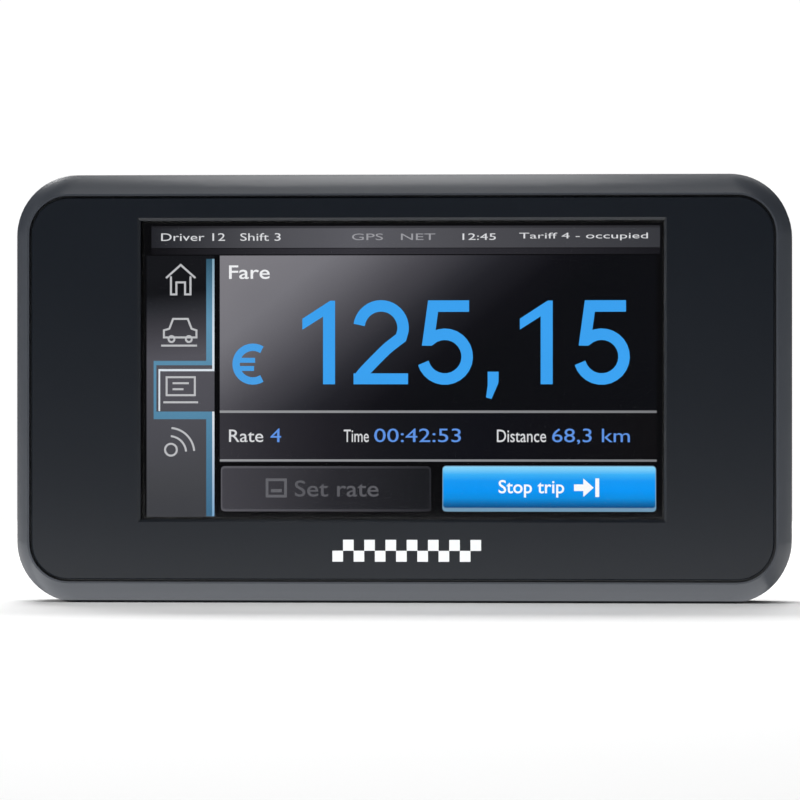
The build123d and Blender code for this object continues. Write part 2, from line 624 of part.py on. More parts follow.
def satellite_receiver():
    """Positioning receiver on the front of the board."""
    return chip(RECEIVER_SIZE, RECEIVER_X, MID_Z + RECEIVER_RISE, front=True)


def sim_slot():
    """Left end, right end, low Z and high Z of the subscriber card's space."""
    width, height, _ = SIM_CARD_SIZE
    left = SIM_HOLDER_X - SIM_HOLDER_SIZE[0] / 2 - SIM_STICK_OUT
    return left, left + width, MID_Z + SIM_RISE - height / 2, MID_Z + SIM_RISE + height / 2


def sim_holder():
    """Holder for the modem's subscriber card, open on its left."""
    left, right, low, high = sim_slot()
    near = BOARD_DEPTH - SIM_HOLDER_SIZE[2] + SIM_WALL
    far = near + SIM_CARD_SIZE[2] + 2 * SIM_GAP
    body = chip(SIM_HOLDER_SIZE, SIM_HOLDER_X, MID_Z + SIM_RISE, front=True)
    return body - block(left, right + SIM_GAP, near, far, low - SIM_GAP, high + SIM_GAP)


def sim_card():
    """Subscriber card in its holder."""
    left, right, low, high = sim_slot()
    near = BOARD_DEPTH - SIM_HOLDER_SIZE[2] + SIM_WALL + SIM_GAP
    return block(left, right, near, near + SIM_CARD_SIZE[2], low, high)


CELL_START = BOARD_BACK + CELL_HOLDER_FLOOR
CELL_END = CELL_START + CELL_THICKNESS


def cell_holder():
    """Cup that holds the clock's back-up cell."""
    z = MID_Z + CELL_Z
    cup = rod(CELL_RADIUS + CELL_HOLDER_WALL, BOARD_BACK, CELL_END, CELL_X, z)
    return cup - rod(CELL_RADIUS + CELL_GAP, CELL_START, CELL_END, CELL_X, z)


def clock_cell():
    """Coin cell that keeps the clock and the totals."""
    return rod(CELL_RADIUS, CELL_START, CELL_END, CELL_X, MID_Z + CELL_Z)


def supply_capacitors():
    """Two electrolytic capacitors of the vehicle supply."""
    cans = [rod(CAPACITOR_RADIUS, BOARD_BACK, BOARD_BACK + CAPACITOR_HEIGHT, x, MID_Z + CAPACITOR_RISE)
            for x in CAPACITOR_X]
    return joined([fillet(can.faces().sort_by(Axis.Y)[-1].edges(), CAPACITOR_ROUND) for can in cans])


def supply_coil():
    """Choke of the vehicle supply."""
    far = BOARD_BACK + COIL_HEIGHT
    return slab(COIL_SIZE, COIL_SIZE, BOARD_BACK, far, COIL_X, MID_Z + COIL_RISE, COIL_CORNER)


SPEAKER_BACK = CASE_DEPTH - WALL - SPEAKER_PAD_THICKNESS
SPEAKER_PLACE = (SPEAKER_X, MID_Z + SPEAKER_Z)


def speaker():
    """Speaker behind the grille: basket with a magnet on its back."""
    rim = SPEAKER_BACK - SPEAKER_RIM_THICKNESS
    basket = rod(SPEAKER_RADIUS, rim, SPEAKER_BACK, *SPEAKER_PLACE)
    return basket + rod(MAGNET_RADIUS, SPEAKER_BACK - SPEAKER_THICKNESS, rim, *SPEAKER_PLACE)


def speaker_pad():
    """Foam ring between the speaker and the rear cover."""
    ring = rod(SPEAKER_RADIUS, SPEAKER_BACK, CASE_DEPTH - WALL, *SPEAKER_PLACE)
    return ring - rod(GRILLE_RADIUS + PAD_OPENING_MARGIN, SPEAKER_BACK, CASE_DEPTH - WALL, *SPEAKER_PLACE)


# ---- card reader ------------------------------------------------------------------------------
READER_TOP = BOARD_BACK + READER_THICKNESS
CHANNEL_NEAR = CARD_DEPTH - CARD_THICKNESS / 2 - CARD_GAP
CHANNEL_FAR = CARD_DEPTH + CARD_THICKNESS / 2 + CARD_GAP
CONTACT_X = READER_MOUTH - READER_CONTACT_SETBACK


def contact_rows():
    """X and Z of the eight card contacts."""
    lowest = MID_Z - READER_CONTACT_PITCH * (READER_CONTACT_ROWS - 1) / 2
    return [(CONTACT_X + READER_COLUMN_PITCH * column, lowest + READER_CONTACT_PITCH * row)
            for column in (0, 1) for row in range(READER_CONTACT_ROWS)]


def reader_base():
    """Moulded reader body with the channel that the driver's card slides in."""
    far_end = READER_MOUTH - READER_LENGTH
    half = READER_HEIGHT / 2
    window_length = READER_LENGTH - 2 * READER_FRAME
    window_height = READER_HEIGHT - 2 * READER_FRAME
    body = block(far_end, READER_MOUTH, BOARD_BACK, READER_TOP, MID_Z - half, MID_Z + half)
    body -= block(far_end + READER_STOP, READER_MOUTH, CHANNEL_NEAR, CHANNEL_FAR,
                  MID_Z - CARD_SPACE / 2, MID_Z + CARD_SPACE / 2)
    body -= slab(window_length, window_height, CHANNEL_FAR, READER_TOP, READER_X, radius=READER_FRAME_CORNER)
    side = LEAF_WIDTH / 2 + LEAF_GAP
    for x, z in contact_rows():
        body -= block(x, x + LEAF_LENGTH + 2 * LEAF_GAP, BOARD_BACK, CHANNEL_NEAR, z - side, z + side)
    return body


def reader_cover():
    """Sheet-steel lid over the reader."""
    far = READER_TOP + READER_COVER_THICKNESS
    length = READER_LENGTH - 2 * READER_COVER_EDGE
    height = READER_HEIGHT - 2 * READER_COVER_EDGE
    return slab(length, height, READER_TOP, far, READER_X, radius=READER_COVER_CORNER)


def card_contacts():
    """Eight gold-plated leaf contacts, each bent up from the board into the channel."""
    top = CHANNEL_NEAR - LEAF_SINK
    leaves = []
    for x, z in contact_rows():
        start = x + LEAF_GAP
        low, high = z - LEAF_WIDTH / 2, z + LEAF_WIDTH / 2
        foot = block(start, start + LEAF_FOOT, BOARD_BACK, BOARD_BACK + LEAF_THICKNESS, low, high)
        riser = block(start, start + LEAF_THICKNESS, BOARD_BACK, top, low, high)
        blade = block(start, start + LEAF_LENGTH, top - LEAF_THICKNESS, top, low, high)
        leaves.append(foot + riser + blade)
    return joined(leaves)


TRIM_BACK = RIGHT_FACE - TRIM_REACH
MOUTH_X = RIGHT_FACE - TRIM_LIP
FLAP_X = MOUTH_X - FLAP_GAP - FLAP_PIN_RADIUS
FLAP_DEPTH = CARD_DEPTH - FLAP_RISE
TRIM_CHAMBER = CARD_WIDTH + 2 * TRIM_CHAMBER_MARGIN
TRIM_NEAR = CARD_DEPTH - TRIM_HEIGHT / 2
TRIM_FAR = CARD_DEPTH + TRIM_HEIGHT / 2
MOUTH_NEAR = CARD_DEPTH - MOUTH_HEIGHT / 2
MOUTH_FAR = CARD_DEPTH + MOUTH_HEIGHT / 2


def card_slot_trim():
    """Insert in the right side of the case with the card's mouth and the flap's chamber."""
    half = TRIM_LENGTH / 2
    chamber = TRIM_CHAMBER / 2
    body = block(TRIM_BACK, RIGHT_FACE, TRIM_NEAR, TRIM_FAR, MID_Z - half, MID_Z + half)
    body -= block(TRIM_BACK, MOUTH_X, FLAP_DEPTH - CHAMBER_GAP, MOUTH_FAR + CHAMBER_GAP,
                  MID_Z - chamber, MID_Z + chamber)
    body -= block(MOUTH_X, RIGHT_FACE, MOUTH_NEAR, MOUTH_FAR, MID_Z - CARD_SPACE / 2, MID_Z + CARD_SPACE / 2)
    outer = body.faces().sort_by(Axis.X)[-1]
    body = chamfer(outer.inner_wires()[0].edges(), MOUTH_BEVEL)
    body &= slab(CASE_WIDTH, CASE_HEIGHT, TRIM_NEAR, TRIM_FAR, radius=CORNER_RADIUS)
    reach = chamber + FLAP_PIN_LENGTH + FLAP_GAP
    return body - rod_z(FLAP_PIN_RADIUS + PIN_FIT, MID_Z - reach, MID_Z + reach, FLAP_X, FLAP_DEPTH)


def card_slot_flap():
    """Dust flap that shuts the mouth and swings in when a card is pushed against it."""
    half = TRIM_CHAMBER / 2 - FLAP_GAP
    reach = TRIM_CHAMBER / 2 + FLAP_PIN_LENGTH
    leaf = block(FLAP_X - FLAP_THICKNESS / 2, FLAP_X + FLAP_THICKNESS / 2, FLAP_DEPTH,
                 MOUTH_FAR + FLAP_OVERLAP, MID_Z - half, MID_Z + half)
    return leaf + rod_z(FLAP_PIN_RADIUS, MID_Z - reach, MID_Z + reach, FLAP_X, FLAP_DEPTH)


# ---- service port on the left side ------------------------------------------------------------
def usb_socket():
    """Plated shell of the service socket."""
    half = USB_WIDTH / 2
    inside = half - USB_SKIN
    near, far = BOARD_BACK, BOARD_BACK + USB_HEIGHT
    body = block(USB_FRONT, USB_BACK, near, far, USB_MID_Z - half, USB_MID_Z + half)
    return body - block(USB_FRONT, USB_BACK - USB_SKIN, near + USB_FLOOR, far - USB_FLOOR,
                        USB_MID_Z - inside, USB_MID_Z + inside)


def usb_tongue():
    """Plastic tongue that carries the service socket's contacts."""
    root_half = USB_WIDTH / 2 - USB_SKIN
    blade_half = root_half - TONGUE_SIDE_GAP
    back = USB_BACK - USB_SKIN
    front = back - TONGUE_ROOT
    near = USB_MID_DEPTH + TONGUE_SHIFT
    root = block(front, back, BOARD_BACK + USB_FLOOR, BOARD_BACK + USB_HEIGHT - USB_FLOOR,
                 USB_MID_Z - root_half, USB_MID_Z + root_half)
    return root + block(front - TONGUE_REACH, front, near, near + TONGUE_HEIGHT,
                        USB_MID_Z - blade_half, USB_MID_Z + blade_half)


def service_door():
    """Drop-down door over the service socket, with a nail notch at its top."""
    near, far = USB_MID_DEPTH - DOOR_WIDTH / 2, USB_MID_DEPTH + DOOR_WIDTH / 2
    leaf = block(LEFT_FACE, LEFT_FACE + DOOR_THICKNESS, near, far, HINGE_Z, DOOR_TOP)
    leaf -= block(LEFT_FACE, LEFT_FACE + DOOR_NOTCH_DEPTH, USB_MID_DEPTH - DOOR_NOTCH_HALF_WIDTH,
                  USB_MID_DEPTH + DOOR_NOTCH_HALF_WIDTH, DOOR_TOP - DOOR_NOTCH_HEIGHT, DOOR_TOP)
    leaf += rod(KNUCKLE_RADIUS, near, far, HINGE_X, HINGE_Z)
    return leaf - rod(PIN_RADIUS + PIN_FIT, near, far, HINGE_X, HINGE_Z)


def service_door_pin():
    """Steel pin that the service door turns on, fixed in the rear cover."""
    half = DOOR_WIDTH / 2 + DOOR_GAP + PIN_HOLD
    return rod(PIN_RADIUS, USB_MID_DEPTH - half, USB_MID_DEPTH + half, HINGE_X, HINGE_Z)


# ---- power key on the top ---------------------------------------------------------------------
def power_key():
    """Key cap with the flange that keeps it in the case."""
    half_x, half_y = KEY_LENGTH / 2, KEY_WIDTH / 2
    cap = block(KEY_X - half_x, KEY_X + half_x, KEY_DEPTH - half_y, KEY_DEPTH + half_y,
                KEY_UNDERSIDE, KEY_TOP)
    cap = fillet(cap.edges().filter_by(Axis.Z), KEY_CORNER)
    cap = fillet(cap.faces().sort_by(Axis.Z)[-1].edges(), KEY_ROUND)
    half_x += KEY_FLANGE_REACH
    half_y += KEY_FLANGE_REACH
    return cap + block(KEY_X - half_x, KEY_X + half_x, KEY_DEPTH - half_y, KEY_DEPTH + half_y,
                       KEY_UNDERSIDE, KEY_UNDERSIDE + KEY_FLANGE)


SWITCH_TOP = KEY_UNDERSIDE - PLUNGER_LENGTH


def power_switch():
    """Tact switch at the board's top edge."""
    half = SWITCH_LENGTH / 2
    body = block(KEY_X - half, KEY_X + half, BOARD_BACK, BOARD_BACK + SWITCH_DEPTH,
                 SWITCH_TOP - SWITCH_HEIGHT, SWITCH_TOP)
    room = PLUNGER_TAIL + KEY_TRAVEL + PLUNGER_ROOM
    return body - rod_z(PLUNGER_RADIUS + SCREW_GAP, SWITCH_TOP - room, SWITCH_TOP, KEY_X, KEY_DEPTH)


def switch_plunger():
    """Plunger of the tact switch, which the key's underside rests on."""
    return rod_z(PLUNGER_RADIUS, SWITCH_TOP - PLUNGER_TAIL, KEY_UNDERSIDE, KEY_X, KEY_DEPTH)


# ---- connectors on the back -------------------------------------------------------------------
def harness_header():
    """Shrouded header for the vehicle harness, with its latch ramp."""
    body = slab(HARNESS_WIDTH, HARNESS_HEIGHT, BOARD_BACK, HARNESS_TIP, HARNESS_X, HARNESS_Z)
    floor = HARNESS_TIP - HARNESS_SOCKET_DEPTH
    body -= slab(HARNESS_WIDTH - 2 * HARNESS_WALL, HARNESS_HEIGHT - 2 * HARNESS_WALL, floor, HARNESS_TIP,
                 HARNESS_X, HARNESS_Z)
    key_slot = slab(HARNESS_KEY_WIDTH, HARNESS_WALL, HARNESS_TIP - HARNESS_KEY_DEPTH, HARNESS_TIP, HARNESS_X,
                    HARNESS_Z - HARNESS_HEIGHT / 2 + HARNESS_WALL / 2)
    return body - key_slot


def harness_contacts():
    """Sixteen square contacts in two rows."""
    floor = HARNESS_TIP - HARNESS_SOCKET_DEPTH
    first = HARNESS_X - CONTACT_PITCH * (CONTACTS_PER_ROW - 1) / 2
    return joined([
        slab(CONTACT_SIZE, CONTACT_SIZE, floor, floor + CONTACT_REACH, first + CONTACT_PITCH * column,
             HARNESS_Z + row * CONTACT_PITCH / 2)
        for column in range(CONTACTS_PER_ROW) for row in (-1, 1)
    ])


NUT_TOP = CASE_DEPTH + JACK_WASHER_THICKNESS + JACK_NUT_THICKNESS
JACK_BORE_FLOOR = JACK_TIP - JACK_BORE_DEPTH
JACK_CORE_FACE = JACK_TIP - JACK_CORE_SINK


def antenna_jack(x):
    """Coaxial jack that stands on the board and comes out through the rear cover."""
    body = slab(JACK_BASE, JACK_BASE, BOARD_BACK, BOARD_BACK + JACK_BASE_HEIGHT, x, JACK_Z)
    shoulder = NUT_TOP + JACK_SHOULDER
    body += rod(JACK_BARREL_RADIUS, BOARD_BACK + JACK_BASE_HEIGHT, shoulder, x, JACK_Z)
    body += rod(JACK_RADIUS, shoulder, JACK_TIP, x, JACK_Z)
    return body - rod(JACK_BORE_RADIUS, JACK_BORE_FLOOR, JACK_TIP, x, JACK_Z)


def antenna_jacks():
    """The two antenna jacks."""
    return joined([antenna_jack(x) for x in JACK_X])


def antenna_cores():
    """White insulators inside the jacks."""
    near, far = JACK_BORE_FLOOR, JACK_CORE_FACE
    return joined([
        rod(JACK_BORE_RADIUS, near, far, x, JACK_Z) - rod(JACK_CONTACT_RADIUS, near, far, x, JACK_Z)
        for x in JACK_X
    ])


def antenna_contacts():
    """Gold centre contacts of the jacks, each with its small socket."""
    near, far = JACK_BORE_FLOOR, JACK_CORE_FACE + JACK_CONTACT_REACH
    socket = far - JACK_CONTACT_BORE_DEPTH
    return joined([
        rod(JACK_CONTACT_RADIUS, near, far, x, JACK_Z) - rod(JACK_CONTACT_BORE, socket, far, x, JACK_Z)
        for x in JACK_X
    ])


def antenna_washers():
    """Washers under the jack nuts."""
    near, far = CASE_DEPTH, CASE_DEPTH + JACK_WASHER_THICKNESS
    hole = JACK_BARREL_RADIUS + JACK_HOLE_GAP
    return joined([rod(JACK_WASHER_RADIUS, near, far, x, JACK_Z) - rod(hole, near, far, x, JACK_Z)
                   for x in JACK_X])


def antenna_nuts():
    """Hexagon nuts that clamp the jacks to the rear cover."""
    near = CASE_DEPTH + JACK_WASHER_THICKNESS
    nuts = []
    for x in JACK_X:
        hexagon = RegularPolygon(JACK_NUT_WIDTH / 2, 6, major_radius=False)
        nut = extrude(at_depth(NUT_TOP, x, JACK_Z) * hexagon, NUT_TOP - near)
        nuts.append(nut - rod(JACK_BARREL_RADIUS + JACK_NUT_GAP, near, NUT_TOP, x, JACK_Z))
    return joined(nuts)


# ---- rear cover -------------------------------------------------------------------------------
def rear_shell():
    """Outer form of the rear cover: tray, bosses and mounting pad."""
    body = slab(CASE_WIDTH, CASE_HEIGHT, REAR_START, CASE_DEPTH, radius=CORNER_RADIUS)
    body = fillet(body.faces().sort_by(Axis.Y)[-1].edges(), REAR_EDGE_RADIUS)
    body -= slab(INNER_WIDTH, INNER_HEIGHT, REAR_START, CASE_DEPTH - WALL, radius=CORNER_RADIUS - WALL)
    pad = slab(PAD_WIDTH, PAD_HEIGHT, CASE_DEPTH, PAD_FACE, radius=PAD_RADIUS)
    body += fillet(pad.faces().sort_by(Axis.Y)[-1].edges(), PAD_ROUND)
    mount_start = PAD_FACE - INSERT_LENGTH - INSERT_FLOOR
    for sx, sz in CORNERS:
        body += rod(REAR_BOSS_RADIUS, SEAM_DEPTH, CASE_DEPTH - WALL, sx * BOSS_X, MID_Z + sz * BOSS_Z)
        body += rod(MOUNT_BOSS_RADIUS, mount_start, CASE_DEPTH - WALL, *mount_place(sx, sz))
    return body


def mount_place(sx, sz):
    """X and Z of one mounting insert."""
    return sx * MOUNT_SPACING_X / 2, MID_Z + sz * MOUNT_SPACING_Z / 2


def tongues():
    """Tongues along the long walls that reach into the front case, set in by the fit clearance."""
    rise = INNER_HEIGHT / 2 - LIP_GAP - LIP_THICKNESS / 2
    near, far = SEAM_DEPTH - LIP_LENGTH, CASE_DEPTH - WALL
    return [slab(TONGUE_LENGTH, LIP_THICKNESS, near, far, x, MID_Z + side * rise)
            for x in TONGUE_X for side in (-1, 1)]


def grille_slots():
    """Sound slots over the speaker."""
    rows = int(GRILLE_RADIUS // GRILLE_PITCH)
    for row in range(-rows, rows + 1):
        rise = row * GRILLE_PITCH
        length = 2 * (GRILLE_RADIUS ** 2 - rise ** 2) ** 0.5
        yield slot(SPEAKER_X, MID_Z + SPEAKER_Z + rise, length, GRILLE_SLOT)


def vent_slots():
    """Cooling slots over the card reader."""
    for row in range(VENT_SLOTS):
        rise = (row - (VENT_SLOTS - 1) / 2) * VENT_PITCH
        yield slot(VENT_X, MID_Z + VENT_Z + rise, VENT_LENGTH, VENT_SLOT)


def slot(x, z, length, width):
    """Round-ended slot through the rear wall."""
    return extrude(at_depth(CASE_DEPTH, x, z) * SlotOverall(length, width), WALL)


def rear_cover():
    """Black rear moulding: carries the mount, the connectors' openings, the key and the service door."""
    body = rear_shell()
    for piece in tongues():
        body += piece
    for sx, sz in CORNERS:
        x, z = sx * BOSS_X, MID_Z + sz * BOSS_Z
        body -= rod(CASE_SCREW_RADIUS + CLEAR_GAP, SEAM_DEPTH, CASE_SCREW_SEAT, x, z)
        body -= rod(HEAD_WELL_RADIUS, CASE_SCREW_SEAT, CASE_DEPTH, x, z)
        body -= rod(INSERT_OUTER_RADIUS + INSERT_GAP, PAD_FACE - INSERT_LENGTH, PAD_FACE,
                    *mount_place(sx, sz))
    for cut in [*grille_slots(), *vent_slots()]:
        body -= cut
    body -= slab(HARNESS_WIDTH + 2 * HARNESS_GAP, HARNESS_HEIGHT + 2 * HARNESS_GAP,
                 CASE_DEPTH - WALL, CASE_DEPTH, HARNESS_X, HARNESS_Z)
    for x in JACK_X:
        body -= rod(JACK_BARREL_RADIUS + JACK_HOLE_GAP, CASE_DEPTH - WALL, CASE_DEPTH, x, JACK_Z)
    body -= slab(LABEL_WIDTH + 2 * LABEL_GAP, LABEL_HEIGHT + 2 * LABEL_GAP,
                 CASE_DEPTH - LABEL_SINK, CASE_DEPTH, LABEL_X, MID_Z + LABEL_Z, LABEL_CORNER + LABEL_GAP)
    half_trim = TRIM_LENGTH / 2 + TRIM_FIT
    body -= block(TRIM_BACK, RIGHT_FACE, TRIM_NEAR - TRIM_FIT, TRIM_FAR + TRIM_FIT,
                  MID_Z - half_trim, MID_Z + half_trim)
    body -= door_opening()
    half_x, half_y = KEY_LENGTH / 2 + KEY_GAP, KEY_WIDTH / 2 + KEY_GAP
    key_hole = block(KEY_X - half_x, KEY_X + half_x, KEY_DEPTH - half_y, KEY_DEPTH + half_y,
                     CASE_HEIGHT - WALL, CASE_HEIGHT)
    return body - fillet(key_hole.edges().filter_by(Axis.Z), KEY_CORNER + KEY_GAP)


def door_opening():
    """Opening for the service door with the holes for its pin."""
    half = DOOR_WIDTH / 2 + DOOR_GAP
    reach = half + PIN_HOLD
    opening = block(LEFT_FACE, LEFT_FACE + WALL, USB_MID_DEPTH - half, USB_MID_DEPTH + half,
                    DOOR_BOTTOM, DOOR_TOP + DOOR_GAP)
    pin_hole = rod(PIN_RADIUS + INSERT_GAP, USB_MID_DEPTH - reach, USB_MID_DEPTH + reach, HINGE_X, HINGE_Z)
    return opening + pin_hole


def case_gasket():
    """Seal in the seam, set back from the outside to leave a shadow line."""
    outset, inset = SEAM_SETBACK, SEAM_INNER_SETBACK
    outer = slab(CASE_WIDTH - 2 * outset, CASE_HEIGHT - 2 * outset, SEAM_DEPTH, REAR_START,
                 radius=CORNER_RADIUS - outset)
    inner = slab(INNER_WIDTH + 2 * inset, INNER_HEIGHT + 2 * inset, SEAM_DEPTH, REAR_START,
                 radius=CORNER_RADIUS - WALL + inset)
    seal = outer - inner
    for sx, sz in CORNERS:
        seal -= rod(REAR_BOSS_RADIUS + inset, SEAM_DEPTH, REAR_START, sx * BOSS_X, MID_Z + sz * BOSS_Z)
    return seal


def case_screws():
    """Four long screws from the rear wells into the front case's bosses."""
    screws = []
    for sx, sz in CORNERS:
        x, z = sx * BOSS_X, MID_Z + sz * BOSS_Z
        top = CASE_SCREW_SEAT + CASE_SCREW_HEAD_HEIGHT
        head = rod(CASE_SCREW_HEAD_RADIUS, CASE_SCREW_SEAT, top, x, z)
        head = fillet(head.faces().sort_by(Axis.Y)[-1].edges(), CASE_HEAD_ROUND)
        head -= extrude(at_depth(top, x, z) * RegularPolygon(HEX_RADIUS, 6), HEX_DEPTH)
        tip = CASE_SCREW_SEAT - CASE_SCREW_LENGTH
        screws.append(head + rod(CASE_SCREW_RADIUS, tip, CASE_SCREW_SEAT, x, z))
    return joined(screws)


def seal_plugs():
    """Tamper plugs pressed into the two wells on one diagonal."""
    far = CASE_DEPTH - SEAL_PLUG_SINK
    dish = far - SEAL_DISH
    plugs = []
    for sx, sz in ((-1, 1), (1, -1)):
        x, z = sx * BOSS_X, MID_Z + sz * BOSS_Z
        plug = rod(HEAD_WELL_RADIUS - INSERT_GAP, far - SEAL_PLUG_THICKNESS, far, x, z)
        plug -= rod(HEAD_WELL_RADIUS - SEAL_RIM, dish, far, x, z)
        plugs.append(plug + rod(SEAL_RIM, dish, far - SEAL_CENTRE_SINK, x, z))
    return joined(plugs)


def mount_inserts():
    """Four brass M4 inserts, flush with the mounting pad."""
    near = PAD_FACE - INSERT_LENGTH
    rings = []
    for sx, sz in CORNERS:
        ring = rod(INSERT_OUTER_RADIUS, near, PAD_FACE, *mount_place(sx, sz))
        rings.append(ring - rod(INSERT_BORE_RADIUS, near, PAD_FACE, *mount_place(sx, sz)))
    return joined(rings)


def rating_plate():
    """Blank silver plate in its recess."""
    near = CASE_DEPTH - LABEL_SINK
    far = near + LABEL_THICKNESS
    return slab(LABEL_WIDTH, LABEL_HEIGHT, near, far, LABEL_X, MID_Z + LABEL_Z, LABEL_CORNER)


NODES = [
    front_case, face_panel, panel_tape, window_gasket, touch_panel, lcd_frame, lcd_cell, backlight, lcd_tail,
    lcd_socket, chassis_plate, chassis_screws, main_board, board_screws, processor, processor_shield,
    modem_module, satellite_receiver, sim_holder, sim_card, cell_holder, clock_cell, supply_capacitors,
    supply_coil, speaker, speaker_pad, reader_base, reader_cover, card_contacts, card_slot_trim,
    card_slot_flap, usb_socket, usb_tongue, service_door, service_door_pin, power_key, power_switch,
    switch_plunger, harness_header, harness_contacts, antenna_jacks, antenna_cores, antenna_contacts,
    antenna_washers, antenna_nuts, rear_cover, case_gasket, case_screws, seal_plugs, mount_inserts,
    rating_plate,
]

os.makedirs("parts", exist_ok=True)
for make in NODES:
    export_step(make(), f"parts/{make.__name__}.step")
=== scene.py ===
import logging
import math
from dataclasses import dataclass, field
from enum import Enum
from typing import Any, Iterable, Mapping, Sequence

import bmesh
import bpy
from mathutils import Matrix, Vector


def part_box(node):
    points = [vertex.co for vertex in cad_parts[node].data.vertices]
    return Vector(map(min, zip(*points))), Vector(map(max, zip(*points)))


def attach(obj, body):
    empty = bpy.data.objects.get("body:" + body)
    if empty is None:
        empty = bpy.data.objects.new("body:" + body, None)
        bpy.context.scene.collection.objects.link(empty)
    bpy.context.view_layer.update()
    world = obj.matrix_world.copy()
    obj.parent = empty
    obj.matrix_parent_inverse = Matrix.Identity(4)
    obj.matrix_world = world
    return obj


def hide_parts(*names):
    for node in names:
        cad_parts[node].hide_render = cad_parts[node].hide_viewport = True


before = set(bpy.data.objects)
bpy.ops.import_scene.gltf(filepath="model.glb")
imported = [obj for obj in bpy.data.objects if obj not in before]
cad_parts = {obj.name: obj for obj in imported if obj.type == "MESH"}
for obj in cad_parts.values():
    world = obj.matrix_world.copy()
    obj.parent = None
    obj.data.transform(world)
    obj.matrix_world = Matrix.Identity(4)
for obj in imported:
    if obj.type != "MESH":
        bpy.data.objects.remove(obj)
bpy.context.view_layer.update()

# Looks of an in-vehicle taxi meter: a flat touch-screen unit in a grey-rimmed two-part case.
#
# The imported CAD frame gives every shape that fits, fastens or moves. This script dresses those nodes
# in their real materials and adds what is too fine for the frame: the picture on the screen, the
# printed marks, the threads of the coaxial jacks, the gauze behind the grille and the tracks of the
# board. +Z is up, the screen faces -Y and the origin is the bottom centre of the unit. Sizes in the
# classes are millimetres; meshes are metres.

LOG = logging.getLogger("taxi_meter")

Point = tuple[float, float]
Point3 = tuple[float, float, float]
Stop = tuple[float, str]
Socket = bpy.types.NodeSocket


def metres(length: float) -> float:
    """Metres from millimetres."""
    return length / 1000.0


def linear(colour: str) -> tuple[float, float, float, float]:
    """Turn an sRGB hex colour into linear light.

    Args:
        colour: Six hex digits after a hash sign.

    Returns:
        Linear red, green, blue and an alpha of one.
    """
    channels = [int(colour[i : i + 2], 16) / 255 for i in (1, 3, 5)]
    light = [c / 12.92 if c <= 0.04045 else ((c + 0.055) / 1.055) ** 2.4 for c in channels]
    return (light[0], light[1], light[2], 1.0)


def add_node(
    tree: bpy.types.NodeTree,
    kind: str,
    settings: Mapping[Any, Any] | None = None,
    links: Mapping[Any, Socket] | None = None,
) -> bpy.types.Node:
    """Add one shader node.

    Args:
        tree: The node tree that it goes into.
        kind: Blender's name of the node type.
        settings: Values of its sockets, by name or number, or of its own properties. The key
            "stops" holds a colour ramp's stops.
        links: Output sockets to join to its input sockets, by name or number.

    Returns:
        The new node.
    """
    node = tree.nodes.new(kind)
    for key, value in (settings or {}).items():
        if key == "stops":
            elements = node.color_ramp.elements
            while len(elements) < len(value):
                elements.new(1.0)
            for element, (position, colour) in zip(elements, value):
                element.position = position
                element.color = linear(colour)
        elif isinstance(key, int) or key in node.inputs:
            node.inputs[key].default_value = value
        else:
            setattr(node, key, value)
    for key, source in (links or {}).items():
        tree.links.new(source, node.inputs[key])
    return node


# ---- finishes ---------------------------------------------------------------------------------
@dataclass(frozen=True)
class Finish:
    """A real material and how its surface was made.

    Attributes:
        name: What the material is called in a workshop.
        colour: Its own colour as sRGB hex.
        roughness: Roughness of the clean surface.
        metallic: One for bare metal, nought for everything else.
        ior: Refractive index; a metal keeps the default.
        coat: Weight of a clear coat.
    """

    name: str
    colour: str
    roughness: float
    metallic: float = 0.0
    ior: float = 1.5
    coat: float = 0.0

    def material(self) -> bpy.types.Material:
        """Make the material once, and give the same one afterwards.

        Returns:
            The Blender material.
        """
        made = bpy.data.materials.get(self.name)
        if made is not None:
            return made
        made = bpy.data.materials.new(self.name)
        made.use_nodes = True
        made.diffuse_color = linear(self.colour)
        tree = made.node_tree
        tree.nodes.clear()
        shader = add_node(tree, "ShaderNodeBsdfPrincipled", {
            "Base Color": linear(self.colour),
            "Roughness": self.roughness,
            "Metallic": self.metallic,
            "IOR": self.ior,
            "Coat Weight": self.coat,
            "Coat Roughness": 0.15,
        })
        add_node(tree, "ShaderNodeOutputMaterial", links={"Surface": shader.outputs[0]})
        self.surface(tree, shader)
        return made

    def surface(self, tree: bpy.types.NodeTree, shader: bpy.types.Node) -> None:
        """Add the pattern of this kind of surface to the shader; the plain finish has none."""

    def place(self, tree: bpy.types.NodeTree) -> Socket:
        """Position on the object, in metres, which no pose or view changes."""
        return add_node(tree, "ShaderNodeTexCoord").outputs["Object"]

    def shades(self, tree: bpy.types.NodeTree, amount: Socket, spread: float) -> Socket:
        """Vary the colour a little either side of its own.

        Args:
            tree: The material's node tree.
            amount: A pattern from nought to one.
            spread: How far the colour strays, as a share of its own.

        Returns:
            The varied colour.
        """
        base = linear(self.colour)
        dark = tuple(c * (1 - spread) for c in base[:3]) + (1.0,)
        light = tuple(min(1.0, c * (1 + spread)) for c in base[:3]) + (1.0,)
        mix = add_node(tree, "ShaderNodeMix", {"data_type": "RGBA", 6: dark, 7: light}, {0: amount})
        return mix.outputs[2]

    def spread_roughness(self, tree: bpy.types.NodeTree, amount: Socket, spread: float) -> Socket:
        """Vary the roughness either side of its own.

        Args:
            tree: The material's node tree.
            amount: A pattern from nought to one.
            spread: How far the roughness strays.

        Returns:
            The varied roughness.
        """
        low, high = max(0.02, self.roughness - spread), min(1.0, self.roughness + spread)
        return add_node(tree, "ShaderNodeMapRange", {"To Min": low, "To Max": high}, {0: amount}).outputs[0]


